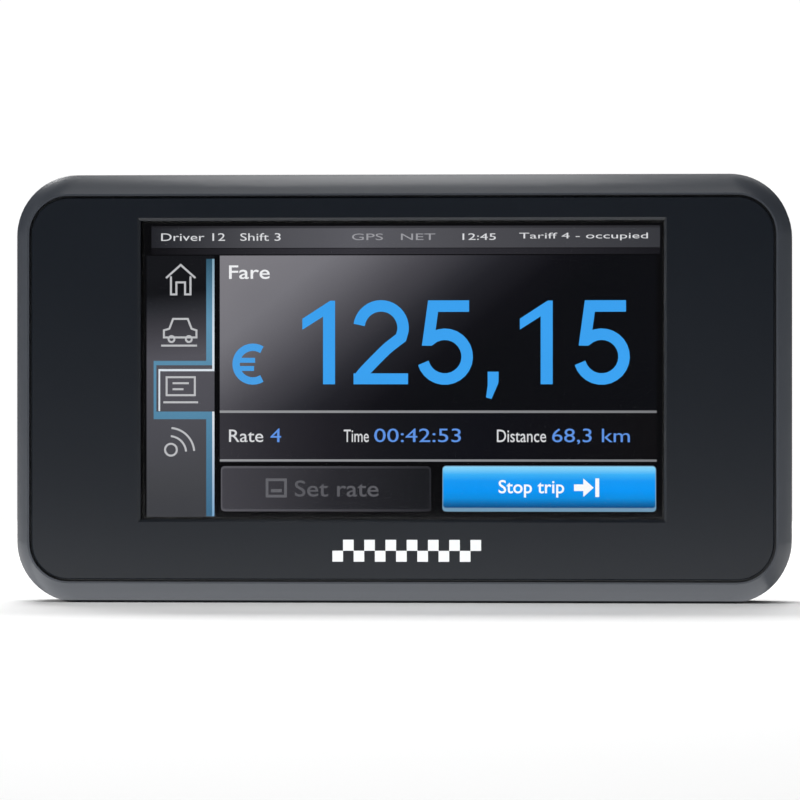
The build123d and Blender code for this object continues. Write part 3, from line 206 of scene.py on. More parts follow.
@dataclass(frozen=True)
class Moulded(Finish):
    """Injection-moulded plastic or rubber with the grain of its tool.

    Attributes:
        grain: Size of one bump of the grain, in millimetres.
        relief: Height of the grain, in millimetres.
        cloud: Size of the slow change in shade, in millimetres.
        spread: How far the shade strays.
    """

    grain: float = 0.35
    relief: float = 0.02
    cloud: float = 14.0
    spread: float = 0.08

    def surface(self, tree: bpy.types.NodeTree, shader: bpy.types.Node) -> None:
        """Add the tool's grain as bump and a slow change of shade and gloss.

        Args:
            tree: The material's node tree.
            shader: The shader that it feeds.
        """
        place = self.place(tree)
        grain = add_node(tree, "ShaderNodeTexNoise", {
            "Scale": 1 / metres(self.grain), "Detail": 2.0, "Roughness": 0.6,
        }, {"Vector": place})
        cloud = add_node(tree, "ShaderNodeTexNoise", {
            "Scale": 1 / metres(self.cloud), "Detail": 3.0,
        }, {"Vector": place})
        bump = add_node(tree, "ShaderNodeBump", {
            "Strength": 0.6, "Distance": metres(self.relief),
        }, {"Height": grain.outputs[0]})
        links = {
            "Base Color": self.shades(tree, cloud.outputs[0], self.spread),
            "Roughness": self.spread_roughness(tree, cloud.outputs[0], self.spread / 2),
            "Normal": bump.outputs[0],
        }
        for socket, source in links.items():
            tree.links.new(source, shader.inputs[socket])


@dataclass(frozen=True)
class Sprayed(Moulded):
    """Two-coat satin paint on moulded plastic: fine bright flakes under the top coat.

    Attributes:
        flake: Size of a flake, in millimetres, drawn coarser than the real 0.03.
        glint: How much lighter a flake is.
    """

    flake: float = 0.18
    glint: float = 0.22

    def surface(self, tree: bpy.types.NodeTree, shader: bpy.types.Node) -> None:
        """Add flakes to the moulded surface's shades.

        Args:
            tree: The material's node tree.
            shader: The shader that it feeds.
        """
        super().surface(tree, shader)
        shade = shader.inputs["Base Color"].links[0].from_socket
        flakes = add_node(tree, "ShaderNodeTexVoronoi", {
            "Scale": 1 / metres(self.flake),
        }, {"Vector": self.place(tree)})
        bright = add_node(tree, "ShaderNodeMapRange", {
            "From Min": 0.0, "From Max": 0.25, "To Min": self.glint, "To Max": 0.0,
        }, {0: flakes.outputs["Distance"]})
        lit = tuple(min(1.0, c * 1.9) for c in linear(self.colour)[:3]) + (1.0,)
        mix = add_node(tree, "ShaderNodeMix", {"data_type": "RGBA", 7: lit}, {0: bright.outputs[0], 6: shade})
        tree.links.new(mix.outputs[2], shader.inputs["Base Color"])


@dataclass(frozen=True)
class Drawn(Finish):
    """Bare or plated metal with the fine lines of rolling, turning or brushing.

    Attributes:
        metallic: One, as for any bare metal.
        line: Width of one line, in millimetres.
        along: Stretch of the lines along X, Y and Z: the smallest is the direction they run in.
        relief: Depth of the lines, in millimetres.
        spread: How far shade and gloss stray.
    """

    metallic: float = 1.0
    line: float = 0.12
    along: Point3 = (0.04, 1.0, 1.0)
    relief: float = 0.004
    spread: float = 0.10

    def surface(self, tree: bpy.types.NodeTree, shader: bpy.types.Node) -> None:
        """Add stretched lines to the colour, the roughness and the bump.

        Args:
            tree: The material's node tree.
            shader: The shader that it feeds.
        """
        stretched = add_node(tree, "ShaderNodeMapping", {"Scale": self.along}, {"Vector": self.place(tree)})
        lines = add_node(tree, "ShaderNodeTexNoise", {
            "Scale": 1 / metres(self.line), "Detail": 3.0,
        }, {"Vector": stretched.outputs[0]})
        bump = add_node(tree, "ShaderNodeBump", {
            "Strength": 0.5, "Distance": metres(self.relief),
        }, {"Height": lines.outputs[0]})
        tree.links.new(self.shades(tree, lines.outputs[0], self.spread), shader.inputs["Base Color"])
        tree.links.new(self.spread_roughness(tree, lines.outputs[0], self.spread), shader.inputs["Roughness"])
        tree.links.new(bump.outputs[0], shader.inputs["Normal"])


@dataclass(frozen=True)
class Cellular(Finish):
    """Foam, with the open cells of its cut face.

    Attributes:
        cell: Size of one cell, in millimetres.
    """

    cell: float = 0.4

    def surface(self, tree: bpy.types.NodeTree, shader: bpy.types.Node) -> None:
        """Add cells to the shade and the bump.

        Args:
            tree: The material's node tree.
            shader: The shader that it feeds.
        """
        cells = add_node(tree, "ShaderNodeTexVoronoi", {
            "Scale": 1 / metres(self.cell),
        }, {"Vector": self.place(tree)})
        bump = add_node(tree, "ShaderNodeBump", {
            "Strength": 0.8, "Distance": metres(self.cell / 3),
        }, {"Height": cells.outputs["Distance"]})
        tree.links.new(self.shades(tree, cells.outputs["Distance"], 0.4), shader.inputs["Base Color"])
        tree.links.new(bump.outputs[0], shader.inputs["Normal"])


@dataclass(frozen=True)
class Etched(Finish):
    """Circuit board under solder mask, with raised copper tracks.

    Attributes:
        track: Width of a track and its gap, in millimetres.
        copper: Colour of the mask where copper lies under it.
    """

    track: float = 0.5
    copper: str = "#1f7a45"

    def surface(self, tree: bpy.types.NodeTree, shader: bpy.types.Node) -> None:
        """Add tracks as a lighter, slightly raised pattern.

        Args:
            tree: The material's node tree.
            shader: The shader that it feeds.
        """
        place = self.place(tree)
        runs = add_node(tree, "ShaderNodeTexBrick", {
            "Scale": 1 / metres(self.track * 8), "Mortar Size": 0.06, "Mortar Smooth": 0.2, "Bias": 0.0,
            "Color1": (1, 1, 1, 1), "Color2": (1, 1, 1, 1), "Mortar": (0, 0, 0, 1),
        }, {"Vector": add_node(tree, "ShaderNodeMapping", {
            "Rotation": (math.radians(90), 0, 0),
        }, {"Vector": place}).outputs[0]})
        bump = add_node(tree, "ShaderNodeBump", {
            "Strength": 0.7, "Distance": metres(0.035), "invert": True,
        }, {"Height": runs.outputs[0]})
        mix = add_node(tree, "ShaderNodeMix", {
            "data_type": "RGBA", 6: linear(self.copper), 7: linear(self.colour),
        }, {0: runs.outputs[0]})
        tree.links.new(mix.outputs[2], shader.inputs["Base Color"])
        tree.links.new(bump.outputs[0], shader.inputs["Normal"])


@dataclass(frozen=True)
class ClearSheet(Finish):
    """Float glass with a hard coat: clear, with a very slight waviness in its reflections.

    Attributes:
        wave: Length of one wave of the surface, in millimetres.
    """

    wave: float = 25.0

    def surface(self, tree: bpy.types.NodeTree, shader: bpy.types.Node) -> None:
        """Make the sheet transmit light and give its face a slow wave.

        Args:
            tree: The material's node tree.
            shader: The shader that it feeds.
        """
        shader.inputs["Transmission Weight"].default_value = 1.0
        waves = add_node(tree, "ShaderNodeTexNoise", {
            "Scale": 1 / metres(self.wave),
        }, {"Vector": self.place(tree)})
        bump = add_node(tree, "ShaderNodeBump", {
            "Strength": 0.1, "Distance": metres(0.002),
        }, {"Height": waves.outputs[0]})
        tree.links.new(bump.outputs[0], shader.inputs["Normal"])


@dataclass(frozen=True)
class Glow(Finish):
    """A lit area of the liquid-crystal picture, shaded along one line.

    Attributes:
        stops: Colours from the start of the line to its end.
        start: X and Z where the line starts, in millimetres.
        way: How far the line goes along X and Z, in millimetres.
        strength: Brightness of the backlight behind it.
    """

    stops: tuple[Stop, ...] = ((0.0, "#ffffff"), (1.0, "#ffffff"))
    start: Point = (0.0, 0.0)
    way: Point = (100.0, 0.0)
    strength: float = 1.08

    def surface(self, tree: bpy.types.NodeTree, shader: bpy.types.Node) -> None:
        """Light the picture through the crystal, with the backlight's faint clouding.

        Args:
            tree: The material's node tree.
            shader: The shader that it feeds.
        """
        shader.inputs["Specular IOR Level"].default_value = 0.0
        place = self.place(tree)
        offset = add_node(tree, "ShaderNodeVectorMath", {
            "operation": "SUBTRACT", 1: (metres(self.start[0]), 0, metres(self.start[1])),
        }, {0: place})
        length = metres(self.way[0] ** 2 + self.way[1] ** 2)
        along = add_node(tree, "ShaderNodeVectorMath", {
            "operation": "DOT_PRODUCT", 1: (self.way[0] / length, 0, self.way[1] / length),
        }, {0: offset.outputs[0]})
        picture = add_node(tree, "ShaderNodeValToRGB", {"stops": self.stops}, {0: along.outputs["Value"]})
        clouds = add_node(tree, "ShaderNodeTexNoise", {"Scale": 1 / metres(12)}, {"Vector": place})
        level = add_node(tree, "ShaderNodeMapRange", {"To Min": 0.94, "To Max": 1.06}, {0: clouds.outputs[0]})
        light = add_node(tree, "ShaderNodeVectorMath", {"operation": "SCALE"}, {
            0: picture.outputs[0], "Scale": level.outputs[0],
        })
        tree.links.new(light.outputs[0], shader.inputs["Emission Color"])
        shader.inputs["Emission Strength"].default_value = self.strength


# An even satin grey with fine flakes, so the bevel shows soft bright bands.
RIM_PAINT = Sprayed("grey satin paint on moulded ABS", "#34383f", 0.36, grain=1.1, relief=0.006, coat=0.15,
                    spread=0.03)
# Almost black, and smooth enough to take a slow gradient from the room.
FACE_SHEET = Moulded("hard-coated dark polycarbonate sheet", "#11161d", 0.24, grain=0.25, relief=0.002,
                     cloud=30.0, spread=0.04, ior=1.46)
# A black that breaks into fine points of light.
REAR_ABS = Moulded("black ABS, spark-eroded texture", "#1a1b1d", 0.52, grain=0.45, relief=0.05, spread=0.10)
# A quieter black beside the rear cover's, with a soft edge to each highlight.
TRIM_ABS = Moulded("black ABS, fine matt texture", "#202124", 0.42, grain=0.30, relief=0.015)
# A grey bloom over the black, from glass fibres at the surface.
HEADER_NYLON = Moulded("black glass-filled nylon", "#151516", 0.46, grain=0.5, relief=0.02)
# A plain tool-polished black, seen only inside.
INNER_ABS = Moulded("black ABS, as moulded", "#1d1d1f", 0.40, grain=0.8, relief=0.01)
# A cool chalky white that stands out from the green board.
WHITE_LCP = Moulded("white liquid-crystal polymer, moulded", "#e3e2dc", 0.48, grain=0.4, relief=0.01)
# A warm off-white, so sockets differ from cards and lamps.
IVORY_NYLON = Moulded("ivory nylon, moulded", "#d6ccb0", 0.5, grain=0.4, relief=0.01)
# A waxy white ring round the jack's gold middle.
PTFE = Moulded("turned PTFE", "#f0f0ec", 0.38, grain=0.3, relief=0.008)
# A dry dark grey without a highlight: soft to look at.
KEY_SILICONE = Moulded("charcoal silicone rubber, moulded", "#2c2d2f", 0.68, grain=0.25, relief=0.02,
                       ior=1.41)
# A dull black line in the joint of the case.
SEAL_SILICONE = Moulded("black silicone cord, extruded", "#0f0f10", 0.6, grain=0.5, relief=0.02, ior=1.41)
# The one strong colour at the back, where the seal must catch the eye.
SEAL_PLUG = Moulded("red polyethylene seal, moulded", "#9c1712", 0.35, grain=0.9, relief=0.01)
# A chalky near-black with a very fine grain.
CHIP_EPOXY = Moulded("black moulded epoxy", "#18181a", 0.55, grain=0.2, relief=0.01)
# A clean even white with a crisp edge.
WHITE_INK = Moulded("white screen-printed ink", "#e9ebec", 0.5, grain=0.2, relief=0.003, spread=0.03)
# A glossy honey colour that shows it is a film.
AMBER_FILM = Moulded("amber polyimide film, cast", "#a8661a", 0.25, grain=1.5, relief=0.01, ior=1.7)
# A neutral black with a soft gloss behind the picture.
POLARISER = Moulded("black polariser film, laminated", "#050506", 0.22, grain=0.6, relief=0.001, spread=0.02)
# Long fine lines along the sheet that stretch each highlight.
SHEET_STEEL = Drawn("rolled stainless sheet", "#b9bbbd", 0.30)
# Rings round the screw heads, slightly dull.
ZINC_STEEL = Drawn("zinc-plated steel, turned", "#b4b6b8", 0.34, along=(1.0, 0.05, 1.0), line=0.2)
# Dark heads that show only as a glint in the black cover.
BLACK_STEEL = Drawn("black-oxide steel, turned", "#26262a", 0.38, along=(1.0, 0.05, 1.0), line=0.2)
# The brightest metal, with upright lines from the rolls.
TIN_PLATE = Drawn("bright tin plate, rolled", "#c9cac8", 0.22, along=(1.0, 1.0, 0.05), line=0.3)
# A warm mirror broken by the lines of turning.
GOLD_PLATE = Drawn("gold-plated brass, turned", "#dcae55", 0.20, along=(1.0, 0.06, 1.0), line=0.15)
# A yellower, duller metal than the plated parts.
TURNED_BRASS = Drawn("turned brass", "#c79a4d", 0.28, along=(1.0, 0.06, 1.0), line=0.15)
# A cool pale metal with lines along the can.
CAN_ALUMINIUM = Drawn("drawn aluminium can", "#c4c6c9", 0.30, along=(1.0, 0.05, 1.0))
# A silvery field with level brush lines under the black print.
LABEL_FOIL = Drawn("satin aluminium foil label, brushed", "#b7babd", 0.42, along=(0.03, 1.0, 1.0), line=0.10,
                   relief=0.002)
# Open cells that swallow the light.
FOAM = Cellular("black polyurethane foam, cut", "#141415", 0.9)
# A weave of fine dark dots behind the grille.
GAUZE = Cellular("black woven polyester gauze", "#1d1d1f", 0.8, cell=0.5)
# Lighter raised tracks on a deep green, so the board reads as a board.
BOARD_MASK = Etched("green solder mask on glass-epoxy, etched", "#0f4a2a", 0.30)
# Clear, with a slow bend in what it mirrors.
TOUCH_GLASS = ClearSheet("clear touch glass, float-made", "#ffffff", 0.03, ior=1.5)
# A pale ground that takes a soft shadow; its grain is drawn coarser than the real 0.1 mm.
STUDIO_FLOOR = Moulded("pale matt laminate", "#f1f1f1", 0.75, grain=1.0, relief=0.001, cloud=400.0,
                       spread=0.01)

NODE_FINISHES: dict[str, Finish] = {
    "front_case": RIM_PAINT, "face_panel": FACE_SHEET, "panel_tape": FOAM, "window_gasket": FOAM,
    "touch_panel": TOUCH_GLASS, "lcd_frame": SHEET_STEEL, "lcd_cell": POLARISER, "backlight": WHITE_LCP,
    "lcd_tail": AMBER_FILM, "lcd_socket": IVORY_NYLON, "chassis_plate": SHEET_STEEL,
    "chassis_screws": ZINC_STEEL, "main_board": BOARD_MASK, "board_screws": ZINC_STEEL,
    "processor": CHIP_EPOXY, "processor_shield": TIN_PLATE, "modem_module": TIN_PLATE,
    "satellite_receiver": TIN_PLATE, "sim_holder": SHEET_STEEL, "sim_card": WHITE_LCP,
    "cell_holder": INNER_ABS, "clock_cell": SHEET_STEEL, "supply_capacitors": CAN_ALUMINIUM,
    "supply_coil": CHIP_EPOXY, "speaker": ZINC_STEEL, "speaker_pad": FOAM, "reader_base": INNER_ABS,
    "reader_cover": SHEET_STEEL, "card_contacts": GOLD_PLATE, "card_slot_trim": TRIM_ABS,
    "card_slot_flap": TRIM_ABS, "usb_socket": TIN_PLATE, "usb_tongue": WHITE_LCP,
    "service_door": REAR_ABS, "service_door_pin": ZINC_STEEL, "power_key": KEY_SILICONE,
    "power_switch": INNER_ABS, "switch_plunger": WHITE_LCP, "harness_header": HEADER_NYLON,
    "harness_contacts": GOLD_PLATE, "antenna_jacks": GOLD_PLATE, "antenna_cores": PTFE,
    "antenna_contacts": GOLD_PLATE, "antenna_washers": ZINC_STEEL, "antenna_nuts": GOLD_PLATE,
    "rear_cover": REAR_ABS, "case_gasket": SEAL_SILICONE, "case_screws": BLACK_STEEL, "seal_plugs": SEAL_PLUG,
    "mount_inserts": TURNED_BRASS, "rating_plate": LABEL_FOIL,
}


# ---- making meshes ----------------------------------------------------------------------------
def new_piece(
    name: str, mesh: bmesh.types.BMesh, finish: Finish, body: str = "case",
) -> bpy.types.Object:
    """Turn a finished mesh into a dressed piece that rides on a body.

    Args:
        name: The piece's name.
        mesh: Its mesh, in metres, which is freed.
        finish: Its material.
        body: The body that it moves with.

    Returns:
        The new object.
    """
    bmesh.ops.recalc_face_normals(mesh, faces=mesh.faces)
    data = bpy.data.meshes.new(name)
    mesh.to_mesh(data)
    mesh.free()
    data.materials.append(finish.material())
    piece = bpy.data.objects.new(name, data)
    bpy.context.scene.collection.objects.link(piece)
    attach(piece, body)
    LOG.info("%s: %d faces, %s", name, len(data.polygons), finish.name)
    return piece


def rounded(x0: float, x1: float, z0: float, z1: float, radius: float = 0.0) -> list[Point]:
    """Outline of a rectangle with round corners.

    Args:
        x0: Left edge.
        x1: Right edge.
        z0: Lower edge.
        z1: Upper edge.
        radius: Corner radius.

    Returns:
        Points anticlockwise from the lower right corner.
    """
    if radius <= 0:
        return [(x1, z0), (x1, z1), (x0, z1), (x0, z0)]
    centres = [(x1 - radius, z0 + radius, -90), (x1 - radius, z1 - radius, 0),
               (x0 + radius, z1 - radius, 90), (x0 + radius, z0 + radius, 180)]
    outline = []
    for cx, cz, start in centres:
        for step in range(7):
            angle = math.radians(start + 15 * step)
            outline.append((cx + radius * math.cos(angle), cz + radius * math.sin(angle)))
    return outline


def arc(cx: float, cz: float, radius: float, start: float, end: float, steps: int = 14) -> list[Point]:
    """Points along a round arc.

    Args:
        cx: X of its centre.
        cz: Z of its centre.
        radius: Its radius.
        start: First angle, in degrees anticlockwise from +X.
        end: Last angle, in degrees.
        steps: Number of chords.

    Returns:
        The points, both ends included.
    """
    angles = [math.radians(start + (end - start) * i / steps) for i in range(steps + 1)]
    return [(cx + radius * math.cos(a), cz + radius * math.sin(a)) for a in angles]


def smooth(points: Sequence[Point], steps: int = 8) -> list[Point]:
    """Round a short line of points into a curve that passes through them.

    Args:
        points: The points that give the curve its shape.
        steps: Chords between two points.

    Returns:
        The curve's points.
    """
    line = [Vector(p) for p in points]
    line = [2 * line[0] - line[1], *line, 2 * line[-1] - line[-2]]
    curve = []
    for a, b, c, d in zip(line, line[1:], line[2:], line[3:]):
        for step in range(steps):
            t = step / steps
            bend, twist = 2 * a - 5 * b + 4 * c - d, 3 * b - a - 3 * c + d
            p = 0.5 * (2 * b + (c - a) * t + bend * t**2 + twist * t**3)
            curve.append((p.x, p.y))
    curve.append((line[-2].x, line[-2].y))
    return curve


def ribbon(points: Sequence[Point], width: float, closed: bool = False) -> list[list[Point]]:
    """Quadrilaterals of a stroke of even width, mitred at its corners.

    Args:
        points: The stroke's middle line.
        width: Its width.
        closed: True when the stroke's end joins its start.

    Returns:
        One outline per length of the stroke.
    """
    line = [Vector(p) for p in points]
    count = len(line)
    sides = []
    for i, point in enumerate(line):
        before = line[i - 1] if i or closed else point
        after = line[(i + 1) % count] if i < count - 1 or closed else point
        into = (point - before).normalized() if point != before else (after - point).normalized()
        out = (after - point).normalized() if after != point else into
        normal_in, normal_out = Vector((-into.y, into.x)), Vector((-out.y, out.x))
        mitre = (normal_in + normal_out).normalized()
        reach = width / 2 / max(0.4, mitre.dot(normal_in))
        sides.append((point + mitre * reach, point - mitre * reach))
    pairs = list(zip(sides, sides[1:])) + ([(sides[-1], sides[0])] if closed else [])
    return [[tuple(a[1]), tuple(b[1]), tuple(b[0]), tuple(a[0])] for a, b in pairs]


def add_plate(mesh: bmesh.types.BMesh, outline: Sequence[Point], front: float, thickness: float) -> None:
    """Add a closed plate that faces the viewer.

    Args:
        mesh: The mesh that it goes into.
        outline: X and Z of its corners, in millimetres.
        front: Y of its front face, in metres.
        thickness: Its thickness, in millimetres.
    """
    near = [mesh.verts.new((metres(x), front, metres(z))) for x, z in outline]
    far = [mesh.verts.new((metres(x), front + metres(thickness), metres(z))) for x, z in outline]
    mesh.faces.new(near)
    mesh.faces.new(reversed(far))
    for i in range(len(near)):
        j = (i + 1) % len(near)
        mesh.faces.new((near[j], near[i], far[i], far[j]))


def add_turned(
    mesh: bmesh.types.BMesh, rings: Sequence[Point], centre: Point3, sides: int = 48,
) -> None:
    """Add a solid of revolution about a line along Y.

    Args:
        mesh: The mesh that it goes into.
        rings: Radius and distance along Y of each ring, in millimetres. A radius of nought closes it.
        centre: The point that distances are counted from, in metres.
        sides: Points in a ring.
    """
    rows = []
    for radius, along in rings:
        if radius == 0:
            rows.append([mesh.verts.new((centre[0], centre[1] + metres(along), centre[2]))])
            continue
        rows.append([
            mesh.verts.new((
                centre[0] + metres(radius) * math.cos(2 * math.pi * i / sides),
                centre[1] + metres(along),
                centre[2] + metres(radius) * math.sin(2 * math.pi * i / sides),
            ))
            for i in range(sides)
        ])
    for low, high in zip(rows, rows[1:]):
        for i in range(sides):
            j = (i + 1) % sides
            corners = [low[i % len(low)], low[j % len(low)], high[j % len(high)], high[i % len(high)]]
            mesh.faces.new(list(dict.fromkeys(corners)))


def add_words(
    mesh: bmesh.types.BMesh, text: str, x_span: Point, z_span: Point, front: float, thickness: float,
    weight: float = 0.0,
) -> None:
    """Add a line of lettering, fitted into a rectangle.

    Args:
        mesh: The mesh that it goes into.
        text: What it says.
        x_span: Left and right edge, in millimetres.
        z_span: Lower and upper edge, in millimetres.
        front: Y of its front face, in metres.
        thickness: Its thickness, in millimetres.
        weight: Growth of the strokes, for bold lettering.
    """
    curve = bpy.data.curves.new("lettering", "FONT")
    curve.body, curve.extrude, curve.offset, curve.resolution_u = text, 0.5, weight, 4
    holder = bpy.data.objects.new("lettering", curve)
    bpy.context.scene.collection.objects.link(holder)
    bpy.context.view_layer.update()
    shaped = bpy.data.meshes.new_from_object(holder.evaluated_get(bpy.context.evaluated_depsgraph_get()))
    already = set(mesh.verts)
    mesh.from_mesh(shaped)
    bpy.data.objects.remove(holder)
    bpy.data.curves.remove(curve)
    bpy.data.meshes.remove(shaped)
    letters = [v for v in mesh.verts if v not in already]
    low = [min(v.co[k] for v in letters) for k in range(3)]
    high = [max(v.co[k] for v in letters) for k in range(3)]
    for vert in letters:
        share = [(vert.co[k] - low[k]) / (high[k] - low[k]) for k in range(3)]
        vert.co = (
            metres(x_span[0] + share[0] * (x_span[1] - x_span[0])),
            front + metres(thickness) * (1 - share[2]),
            metres(z_span[0] + share[1] * (z_span[1] - z_span[0])),
        )


def shifted(points: Iterable[Point], dx: float, dz: float) -> list[Point]:
    """Points moved sideways and up."""
    return [(x + dx, z + dz) for x, z in points]


class Facing(Enum):
    """Which way a flat mark looks, as the turn that takes it there from facing the viewer."""

    BACK = Matrix.Rotation(math.pi, 4, "Z")
    TOP = Matrix.Rotation(-math.pi / 2, 4, "X")


# ---- the picture on the screen ----------------------------------------------------------------
@dataclass
class MeterDisplay:
    """The running-fare page: status bar, menu column, fare, trip row and two buttons.

    The page is a stack of very thin closed layers between the crystal cell and the touch glass. Its
    places are millimetres from the middle of the lit area.

    Attributes:
        half: Half the lit area's width and height.
        base: Depth of the page's ground behind the back of the touch glass.
        step: Depth from one layer to the next.
        skin: Thickness of a layer.
        stroke: Width of the fare's strokes.
        sign_stroke: Width of the menu signs' strokes.
        middle: X and Z of the middle of the lit area, in millimetres.
        glass_back: Y of the back of the touch glass, in metres.
    """

    half: Point = (47.52, 26.93)
    base: float = 0.29
    step: float = 0.055
    skin: float = 0.02
    stroke: float = 2.1
    sign_stroke: float = 0.36
    middle: Point = field(init=False)
    glass_back: float = field(init=False)

    def __post_init__(self) -> None:
        """Find the lit area from the touch glass in front of it."""
        low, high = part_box("touch_panel")
        self.middle = ((low.x + high.x) * 500, (low.z + high.z) * 500)
        self.glass_back = high.y

    def front(self, layer: int) -> float:
        """Y of a layer's front face, in metres."""
        return self.glass_back + metres(self.base - layer * self.step)

    def lay(self, name: str, layer: int, finish: Finish, outlines: Iterable[Sequence[Point]]) -> None:
        """Lay flat shapes of one colour on the page.

        Args:
            name: The piece's name.
            layer: How many layers up it lies.
            finish: Its finish.
            outlines: Its shapes, each a closed outline.
        """
        mesh = bmesh.new()
        for outline in outlines:
            add_plate(mesh, shifted(outline, *self.middle), self.front(layer), self.skin)
        new_piece(name, mesh, finish)

    def write(self, name: str, finish: Finish, lines: Iterable[tuple[str, Point, Point, float]]) -> None:
        """Write lettering on the page's top layer.

        Args:
            name: The piece's name.
            finish: Its finish.
            lines: Text, left and right edge, lower and upper edge, and weight of each.
        """
        mesh = bmesh.new()
        for text, (x0, x1), (z0, z1), weight in lines:
            (x0, z0), (x1, z1) = shifted([(x0, z0), (x1, z1)], *self.middle)
            add_words(mesh, text, (x0, x1), (z0, z1), self.front(3), self.skin, weight)
        bmesh.ops.remove_doubles(mesh, verts=mesh.verts, dist=metres(0.001))
        new_piece(name, mesh, finish)

    def glow(
        self, name: str, stops: Sequence[Stop], start: Point = (0.0, 0.0), way: Point = (100.0, 0.0),
    ) -> Glow:
        """A lit finish, shaded along a line across the page.

        Args:
            name: The finish's name.
            stops: Its colours, from the start of the line to its end.
            start: Where the line starts on the page.
            way: How far it goes along X and Z.

        Returns:
            The finish.
        """
        spread = tuple(stops) if len(stops) > 1 else (stops[0], (1.0, stops[0][1]))
        (begin,) = shifted([start], *self.middle)
        return Glow(name, "#010101", 0.5, stops=spread, start=begin, way=way)

    def build(self) -> None:
        """Build the whole page."""
        width, height = self.half
        self.lay("page_ground", 0, self.glow("lit crystal, black", [(0, "#030305")]),
                 [rounded(-width, width, -height, height)])
        self.build_status_bar()
        self.build_menu()
        self.build_fare_area()
        self.build_trip_row()
        self.build_buttons()

    def build_status_bar(self) -> None:
        """Grey bar along the top with small lettering, brightest left of its middle."""
        bar = self.glow("lit crystal, status bar", [
            (0, "#212227"), (0.05, "#2f3035"), (0.22, "#4c4c51"), (0.40, "#5a5a60"), (0.62, "#4b4b50"),
            (1, "#36373c"),
        ], start=(-46.2, 0), way=(93.3, 0))
        self.lay("status_bar", 1, bar, [rounded(-46.2, 47.1, 22.4, 26.4)])
        edge = self.glow("lit crystal, bar edge", [(0, "#1d1d21"), (0.4, "#3b3b40"), (1, "#2a2a2e")],
                         start=(-46.2, 0), way=(93.3, 0))
        self.lay("status_bar_edge", 2, edge, [rounded(-46.2, 47.1, 26.0, 26.4)])
        shade = self.glow("lit crystal, bar shade", [(0, "#0c0c10"), (0.4, "#343339"), (1, "#15151a")],
                          start=(-46.2, 0), way=(93.3, 0))
        self.lay("status_shade", 1, shade, [rounded(-46.2, 47.1, 21.2, 22.3)])
        self.write("status_words", self.glow("lit crystal, white", [(0, "#d9dadd")]), [
            ("Driver 12   Shift 3", (-44.4, -22.4), (23.7, 25.1), 0.0),
            ("12:45", (11.0, 17.1), (23.8, 25.0), 0.0),
            ("Tariff 4 - occupied", (21.4, 44.9), (23.7, 25.1), 0.0),
        ])
        self.write("signal_words", self.glow("lit crystal, status grey", [(0, "#9a9a9f")]), [
            ("GPS   NET", (-9.3, 6.0), (23.8, 25.0), 0.0),
        ])

    def build_menu(self) -> None:
        """Dark column at the left with four signs and the outline of the open tab."""
        column = self.glow("lit crystal, menu column", [
            (0, "#121317"), (0.07, "#0e0f13"), (0.13, "#27282d"), (0.22, "#3f3e44"), (0.32, "#54535a"),
            (0.62, "#4b4b51"), (0.8, "#434448"), (1, "#38393e"),
        ], start=(0, 21.2), way=(4.0, -48.0))
        self.lay("menu_column", 1, column, [rounded(-47.1, -34.6, -26.9, 21.0)])
        blue = self.glow("lit crystal, tab blue", [
            (0, "#2f5468"), (0.25, "#5e90ae"), (0.6, "#5487a6"), (1, "#3d6988"),
        ], start=(0, 20.4), way=(0, -47.2))
        white = self.glow("lit crystal, tab white", [
            (0, "#7fa4b8"), (0.3, "#d5e0ea"), (0.6, "#dfe4ea"), (1, "#7fa9cc"),
        ], start=(0, 20.4), way=(0, -47.2))
        self.lay("tab_blue", 2, blue, [
            rounded(-36.1, -35.0, 0.9, 20.4), rounded(-45.8, -35.0, 0.9, 1.7),
            rounded(-45.8, -45.3, -9.0, 0.9), rounded(-45.8, -35.0, -9.0, -7.6),
            rounded(-36.1, -35.0, -26.8, -9.0),
        ])
        self.lay("tab_white", 2, white, [
            rounded(-35.0, -34.6, -0.2, 20.4), rounded(-44.9, -35.0, -0.2, 0.2),
            rounded(-44.9, -44.6, -7.5, -0.2), rounded(-35.0, -34.6, -26.8, -7.6),
        ])
        mesh = bmesh.new()
        for line, closed in self.menu_signs():
            for piece in ribbon(shifted(line, *self.middle), self.sign_stroke, closed):
                add_plate(mesh, piece, self.front(3), self.skin)
        new_piece("menu_signs", mesh, self.glow("lit crystal, sign grey", [(0, "#bcbdc0")]))

    def menu_signs(self) -> list[tuple[list[Point], bool]]:
        """Middle lines of the four signs: a house, a car on its road, a printed slip and radio waves.

        Returns:
            Each line and whether it is closed.
        """
        car = [(-43.9, 6.0), (-43.9, 7.3), (-42.9, 7.6), (-42.2, 9.4), (-39.5, 9.4), (-38.8, 7.6),
               (-37.9, 7.3), (-37.9, 6.0)]
        slip = [(-43.4, -4.6), (-43.4, -1.3), (-38.2, -1.3), (-38.2, -4.6)]
        return [
            ([(-43.5, 16.9), (-40.8, 19.3), (-38.1, 16.9)], False),
            ([(-42.6, 17.2), (-42.6, 13.9), (-41.6, 13.9), (-41.6, 16.1),
              (-40.0, 16.1), (-40.0, 13.9), (-39.0, 13.9), (-39.0, 17.2)], False),
            (car, True),
            (arc(-42.5, 5.7, 0.55, 0, 360), False),
            (arc(-39.3, 5.7, 0.55, 0, 360), False),
            ([(-44.4, 4.5), (-37.8, 4.5)], False),
            (slip, True),
            ([(-42.3, -2.4), (-39.3, -2.4)], False),
            ([(-42.3, -3.5), (-40.3, -3.5)], False),
            ([(-44.0, -5.9), (-37.6, -5.9)], False),
            (arc(-42.6, -14.6, 1.1, 0, 360), False),
            (arc(-42.9, -15.2, 3.1, 5, 85), False),
            (arc(-42.9, -15.2, 4.6, 5, 85), False),
        ]

